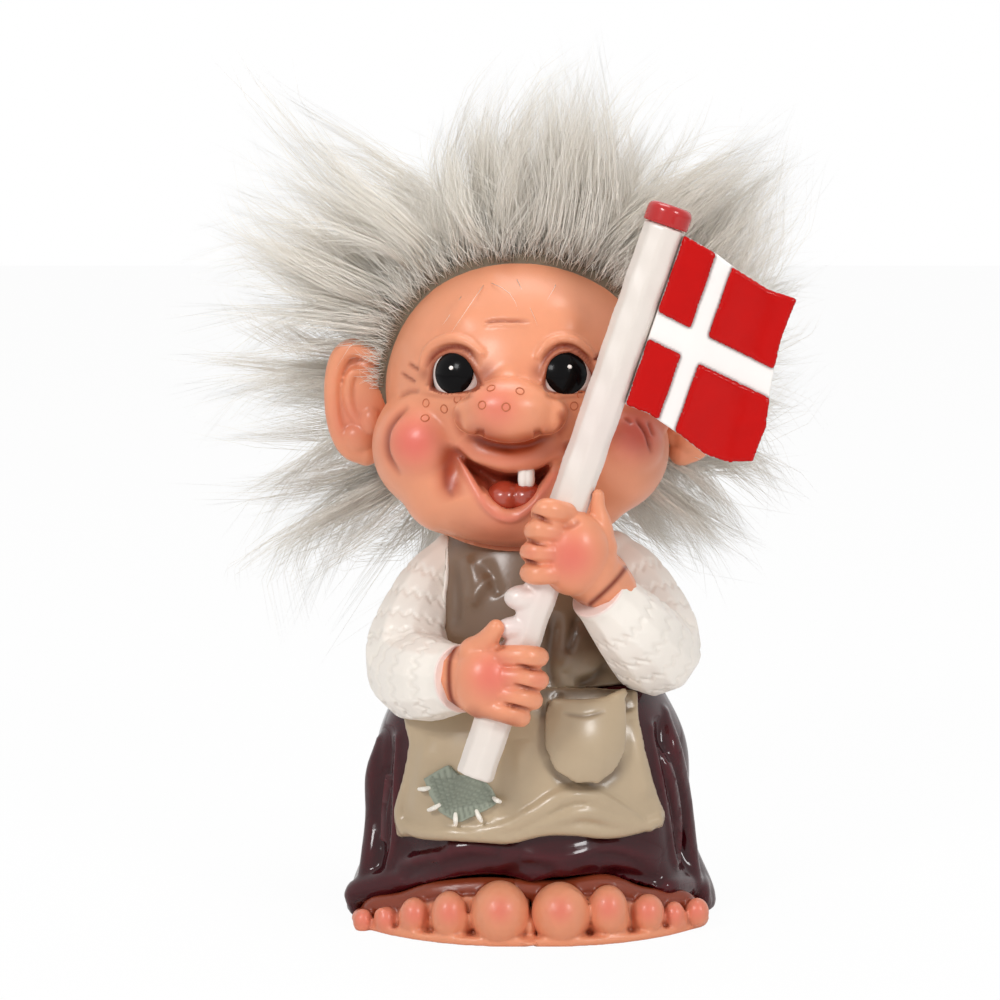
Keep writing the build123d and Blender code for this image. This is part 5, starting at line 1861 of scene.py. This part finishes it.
    def locks(self, chance: np.random.Generator) -> list[Batch]:
        """Grow the long locks, in clumps that lean to the tufts.

        Args:
            chance: The random source.

        Returns:
            Batches of strands.
        """
        tips = np.array([VIEW.at(*tuft.tip, tuft.depth) for tuft in self.tufts]) - np.array(self.centre)
        heading = tips / np.linalg.norm(tips, axis=1)[:, None]
        own = self.roots(self.strands, chance, low=0.8, ear_front=-9.0)
        rows = own @ self.turned()
        heads = rows[:self.clumps]
        full = np.log([tuft.fullness for tuft in self.tufts])
        close = heads @ heading.T + full[None, :] * self.fullness_weight
        close += chance.normal(scale=self.aim_scatter, size=close.shape)
        aim = tips[close.argmax(axis=1)]
        reach = np.linalg.norm(aim - heads * self.root_radius, axis=1)[:, None]
        pull = chance.uniform(*self.pull, size=(len(heads), 1))
        ends = heads * (self.root_radius + reach) * (1 - pull) + aim * pull
        ends += chance.normal(scale=self.end_scatter, size=ends.shape) * reach
        swing = chance.normal(scale=self.swing, size=ends.shape)
        clump = np.concatenate([(rows[i:i + self.per_search] @ heads.T).argmax(axis=1)
                                for i in range(0, len(rows), self.per_search)])
        root = rows * self.root_radius
        tip = (ends[clump] + (rows - heads[clump]) * self.clump_spread
               + chance.normal(scale=self.tip_scatter, size=rows.shape))
        wild = chance.uniform(size=len(rows)) < self.wild_share
        tip[wild] += chance.normal(scale=self.wild_reach, size=(int(wild.sum()), 3))
        least, more, bias = self.short_reach
        share = np.where(chance.uniform(size=(len(rows), 1)) < self.long_share, self.long_reach,
                         least + more * chance.uniform(size=(len(rows), 1)) ** bias)
        tip = self.kept_in(root, root + (tip - root) * share, chance)
        length = np.linalg.norm(tip - root, axis=1)[:, None]
        near = np.clip(1 - self.behind(own * self.root_radius) / self.brow_band, 0, 1)[:, None]
        bend = root + (rows * self.rise + swing[clump]) * length + self.lift() * near * self.brow_lift
        width = chance.uniform(*self.lock_width, len(rows))
        return self.grow(root, bend, tip, width, chance, root_share=1.0, rings=4)

    def kept_in(self, root: np.ndarray, tip: np.ndarray, chance: np.random.Generator) -> np.ndarray:
        """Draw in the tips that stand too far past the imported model's box.

        Args:
            root: Each strand's foot, from the head's middle.
            tip: Each strand's end, from the head's middle.
            chance: The random source.

        Returns:
            The tips.
        """
        low, high = (np.array(corner) / METRES - np.array(self.centre) for corner in CAD_BOX)
        run = tip - root
        gap = np.where(tip > root, high + self.proud - root, low - self.proud - root)
        span = gap / np.where(np.abs(run) < 1e-6, 1e-6, run)
        room = np.minimum(span.min(axis=1), 1.0)[:, None]
        return root + run * np.where(room < 1, room * chance.uniform(*self.drawn_in, room.shape), 1.0)

    def soft(self, chance: np.random.Generator) -> list[Batch]:
        """Grow the short underfur, which is sparser before the ears.

        Args:
            chance: The random source.

        Returns:
            Batches of strands.
        """
        own = self.roots(self.underfur, chance, low=0.1, ear_front=-1.0)
        rows = own @ self.turned()
        root = rows * (self.root_radius - self.under_sunk)
        near = np.clip(1 - self.behind(own * self.root_radius) / self.under_band, 0, 1)[:, None]
        lean = rows + chance.normal(scale=self.under_scatter, size=rows.shape)
        lean = lean + self.lift() * near * self.under_lift
        lean /= np.linalg.norm(lean, axis=1)[:, None]
        length = chance.uniform(*self.under_length, size=(len(rows), 1)) * (1 - self.under_thinning * near)
        side, front, top = self.by_ear
        length[(np.abs(own[:, 0]) > side) & (own[:, 1] < front) & (own[:, 2] < top)] *= self.by_ear_share
        bend, tip = root + rows * length * 0.5, root + lean * length
        width = chance.uniform(*self.under_width, len(rows))
        return self.grow(root, bend, tip, width, chance, root_share=1.5, rings=3)

    def stray(self, chance: np.random.Generator) -> list[Batch]:
        """Lay a few loose hairs over the forehead.

        Args:
            chance: The random source.

        Returns:
            One batch of strands.
        """
        depth = -self.forehead * cos(radians(45.0))
        root, tip = (np.array([VIEW.at(*pair[end], depth) for pair in self.strays]) - np.array(self.centre)
                     for end in (0, 1))
        root *= ((self.forehead + 0.1) / np.linalg.norm(root, axis=1))[:, None]
        tip *= ((self.forehead + 0.5) / np.linalg.norm(tip, axis=1))[:, None]
        bend = (root + tip) / 2
        bend *= ((self.forehead + 1.2) / np.linalg.norm(bend, axis=1))[:, None]
        return self.grow(root, bend, tip, np.full(len(root), 0.05), chance, root_share=0.2, rings=4)

    def grow(self, root: np.ndarray, bend: np.ndarray, tip: np.ndarray, width: np.ndarray,
             chance: np.random.Generator, root_share: float, rings: int) -> list[Batch]:
        """Make tapered three-sided strands.

        Args:
            root: Each strand's foot, from the head's middle.
            bend: The point that each strand leans towards.
            tip: Each strand's end.
            width: Each strand's half width at its foot.
            chance: The random source.
            root_share: How far the painted shade at the roots runs up, against a lock's.
            rings: How many rings of vertices lie below each strand's tip.

        Returns:
            Batches of vertices, faces, root shade values and tint values.
        """
        tint = chance.uniform(0.0, 1.0, len(root)) ** 1.5
        kink = chance.normal(scale=self.kink, size=(len(root), 3))
        each = rings * STRAND_SIDES + 1
        faces = np.array(self.strand_faces(rings))
        batches = []
        for begin in range(0, len(root), self.per_piece):
            part = slice(begin, begin + self.per_piece)
            count = len(root[part])
            axis = tip[part] - root[part]
            axis /= np.linalg.norm(axis, axis=1)[:, None]
            side = np.cross(axis, (0.31, 0.27, 0.91))
            side /= np.linalg.norm(side, axis=1)[:, None]
            other = np.cross(axis, side)
            places = np.zeros((count, each, 3))
            shade = np.zeros((count, each))
            for k in range(each):
                ring, corner = divmod(k, STRAND_SIDES)
                t = ring / rings
                turn = 2 * pi * corner / STRAND_SIDES
                line = ((1 - t) ** 2 * root[part] + 2 * t * (1 - t) * bend[part] + t * t * tip[part]
                        + kink[part] * sin(pi * t) + np.array(self.centre))
                out = side * cos(turn) + other * sin(turn)
                thin = (width[part] * (1 - self.narrowing * t))[:, None]
                places[:, k] = line if ring == rings else line + out * thin
                # Painted shade deep in the fur: each strand darkens towards its foot.
                shade[:, k] = np.clip(1 - t / (self.dark_share * root_share), 0, 1) ** 1.2
            index = (faces[None] + np.arange(count)[:, None, None] * each).reshape(-1, 3)
            batches.append((places.reshape(-1, 3), index, shade.ravel(), np.repeat(tint[part], each)))
        return batches

    def strand_faces(self, rings: int) -> list[tuple[int, int, int]]:
        """List the faces of one strand, closed at its foot and at its tip.

        Args:
            rings: How many rings of vertices lie below the tip.

        Returns:
            The numbers of each face's vertices.
        """
        faces = [(0, 2, 1)]
        for k in range(rings - 1):
            for corner in range(STRAND_SIDES):
                a, b = k * STRAND_SIDES + corner, k * STRAND_SIDES + (corner + 1) % STRAND_SIDES
                faces += [(a, b, b + STRAND_SIDES), (a, b + STRAND_SIDES, a + STRAND_SIDES)]
        top = (rings - 1) * STRAND_SIDES
        return faces + [(top + c, top + (c + 1) % STRAND_SIDES, rings * STRAND_SIDES)
                        for c in range(STRAND_SIDES)]

    def lay(self, name: str, batches: list[Batch], replaced: Sequence[str]) -> None:
        """Turn batches of strands into pieces.

        Args:
            name: The pieces' name, which a number follows.
            batches: The batches.
            replaced: The nodes that they stand for.
        """
        for number, (places, faces, shade, tint) in enumerate(batches):
            mesh = bpy.data.meshes.new(name)
            mesh.vertices.add(len(places))
            mesh.vertices.foreach_set("co", (places * METRES).ravel())
            mesh.loops.add(faces.size)
            mesh.loops.foreach_set("vertex_index", faces.ravel().astype(np.int32))
            mesh.polygons.add(len(faces))
            mesh.polygons.foreach_set("loop_start", np.arange(0, faces.size, 3, dtype=np.int32))
            mesh.update(calc_edges=True)
            for label, values in (("root", shade), ("tint", tint)):
                store(mesh, label, values)
            dress(linked(name, mesh), f"{name}_{number}", FUR, replaced)


# The stage


@dataclass(frozen=True)
class Lamp:
    """A square soft box that looks at the figure, with its side in metres and its power in watts."""

    name: str
    place: Point
    side: float
    power: float


@dataclass
class Studio:
    """The pale floor, the soft lights, the white surround and the camera."""

    floor_size: float = 3.0
    floor_white: float = 0.92
    floor_roughness: float = 0.9
    floor_glow: float = 0.96
    world_strength: float = 0.3
    lamps: tuple[Lamp, ...] = (
        Lamp("key_left", (-0.52, -0.72, 0.62), 0.24, 4.3), Lamp("key_right", (0.58, -0.68, 0.5), 0.22, 3.1),
        Lamp("top", (0.0, 0.1, 0.85), 0.4, 2.7))
    lamp_aim: Point = (0.0, 0.0, 0.08)
    sensor: float = 36.0

    def build(self) -> None:
        """Set up the stage, the lights and the camera."""
        deselect()
        bpy.ops.mesh.primitive_plane_add(size=self.floor_size, location=(0, 0, 0))
        floor = bpy.context.object
        floor.name = "studio_floor"
        floor.data.materials.append(self.floor_paint())
        for lamp in self.lamps:
            aim = Vector(self.lamp_aim) - Vector(lamp.place)
            deselect()
            bpy.ops.object.light_add(type="AREA", location=lamp.place,
                                     rotation=aim.to_track_quat("-Z", "Y").to_euler())
            box = bpy.context.object
            box.name = lamp.name
            box.data.shape = "SQUARE"
            box.data.size = lamp.side
            box.data.energy = lamp.power
        self.surround()
        self.camera()
        bpy.context.scene.view_settings.view_transform = "Standard"

    def floor_paint(self) -> bpy.types.Material:
        """Make the floor's white, which keeps a faint shadow.

        Returns:
            The material.
        """
        made = bpy.data.materials.new("studio_floor")
        made.use_nodes = True
        tree = made.node_tree
        shader = tree.nodes["Principled BSDF"]
        shader.inputs["Base Color"].default_value = (self.floor_white,) * 3 + (1.0,)
        shader.inputs["Roughness"].default_value = self.floor_roughness
        glow = add_node(tree, "Emission", {"Color": WHITE})
        seen = add_node(tree, "LightPath", {}).outputs["Is Camera Ray"]
        share = add_node(tree, "Math", {0: seen, 1: self.floor_glow}, operation="MULTIPLY")
        mix = add_node(tree, "MixShader", {0: share.outputs[0], 1: shader.outputs[0], 2: glow.outputs[0]})
        tree.links.new(mix.outputs[0], tree.nodes["Material Output"].inputs["Surface"])
        return made

    def surround(self) -> None:
        """Give the world a soft light, and white where the camera or gloss sees it."""
        world = bpy.data.worlds.new("studio_world")
        bpy.context.scene.world = world
        world.use_nodes = True
        tree = world.node_tree
        soft = tree.nodes["Background"]
        soft.inputs["Color"].default_value = WHITE
        soft.inputs["Strength"].default_value = self.world_strength
        white = add_node(tree, "Background", {"Color": WHITE, "Strength": 1.0})
        path = add_node(tree, "LightPath", {})
        total = path.outputs["Is Camera Ray"]
        for ray in ("Is Glossy Ray", "Is Transmission Ray"):
            total = add_node(tree, "Math", {0: total, 1: path.outputs[ray]}, operation="MAXIMUM").outputs[0]
        mix = add_node(tree, "MixShader", {0: total, 1: soft.outputs[0], 2: white.outputs[0]})
        tree.links.new(mix.outputs[0], tree.nodes["World Output"].inputs["Surface"])

    def camera(self) -> None:
        """Stand the camera where the photo's stood."""
        eye = VIEW.eye() * METRES
        aim = Vector(VIEW.aim) * METRES
        deselect()
        bpy.ops.object.camera_add(location=eye, rotation=(aim - eye).to_track_quat("-Z", "Y").to_euler())
        camera = bpy.context.object
        camera.data.sensor_width = self.sensor
        camera.data.lens = self.sensor * VIEW.focal / (2 * VIEW.middle)
        camera.data.clip_start = 0.01
        bpy.context.scene.camera = camera


def main() -> None:
    """Build the figure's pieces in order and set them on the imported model."""
    logging.basicConfig(level=logging.INFO, format="%(message)s")
    Studio().build()
    head = Head().build()
    FreckleRings().build(head)
    for part in (Ears(), Mouthful(), LOWER_FIST, UPPER_FIST, Blouse(), Skirt(), Apron(), Feet(), Flagpole(),
                 Hair(), Eyes()):
        part.build()


if __name__ == "__main__":
    main()
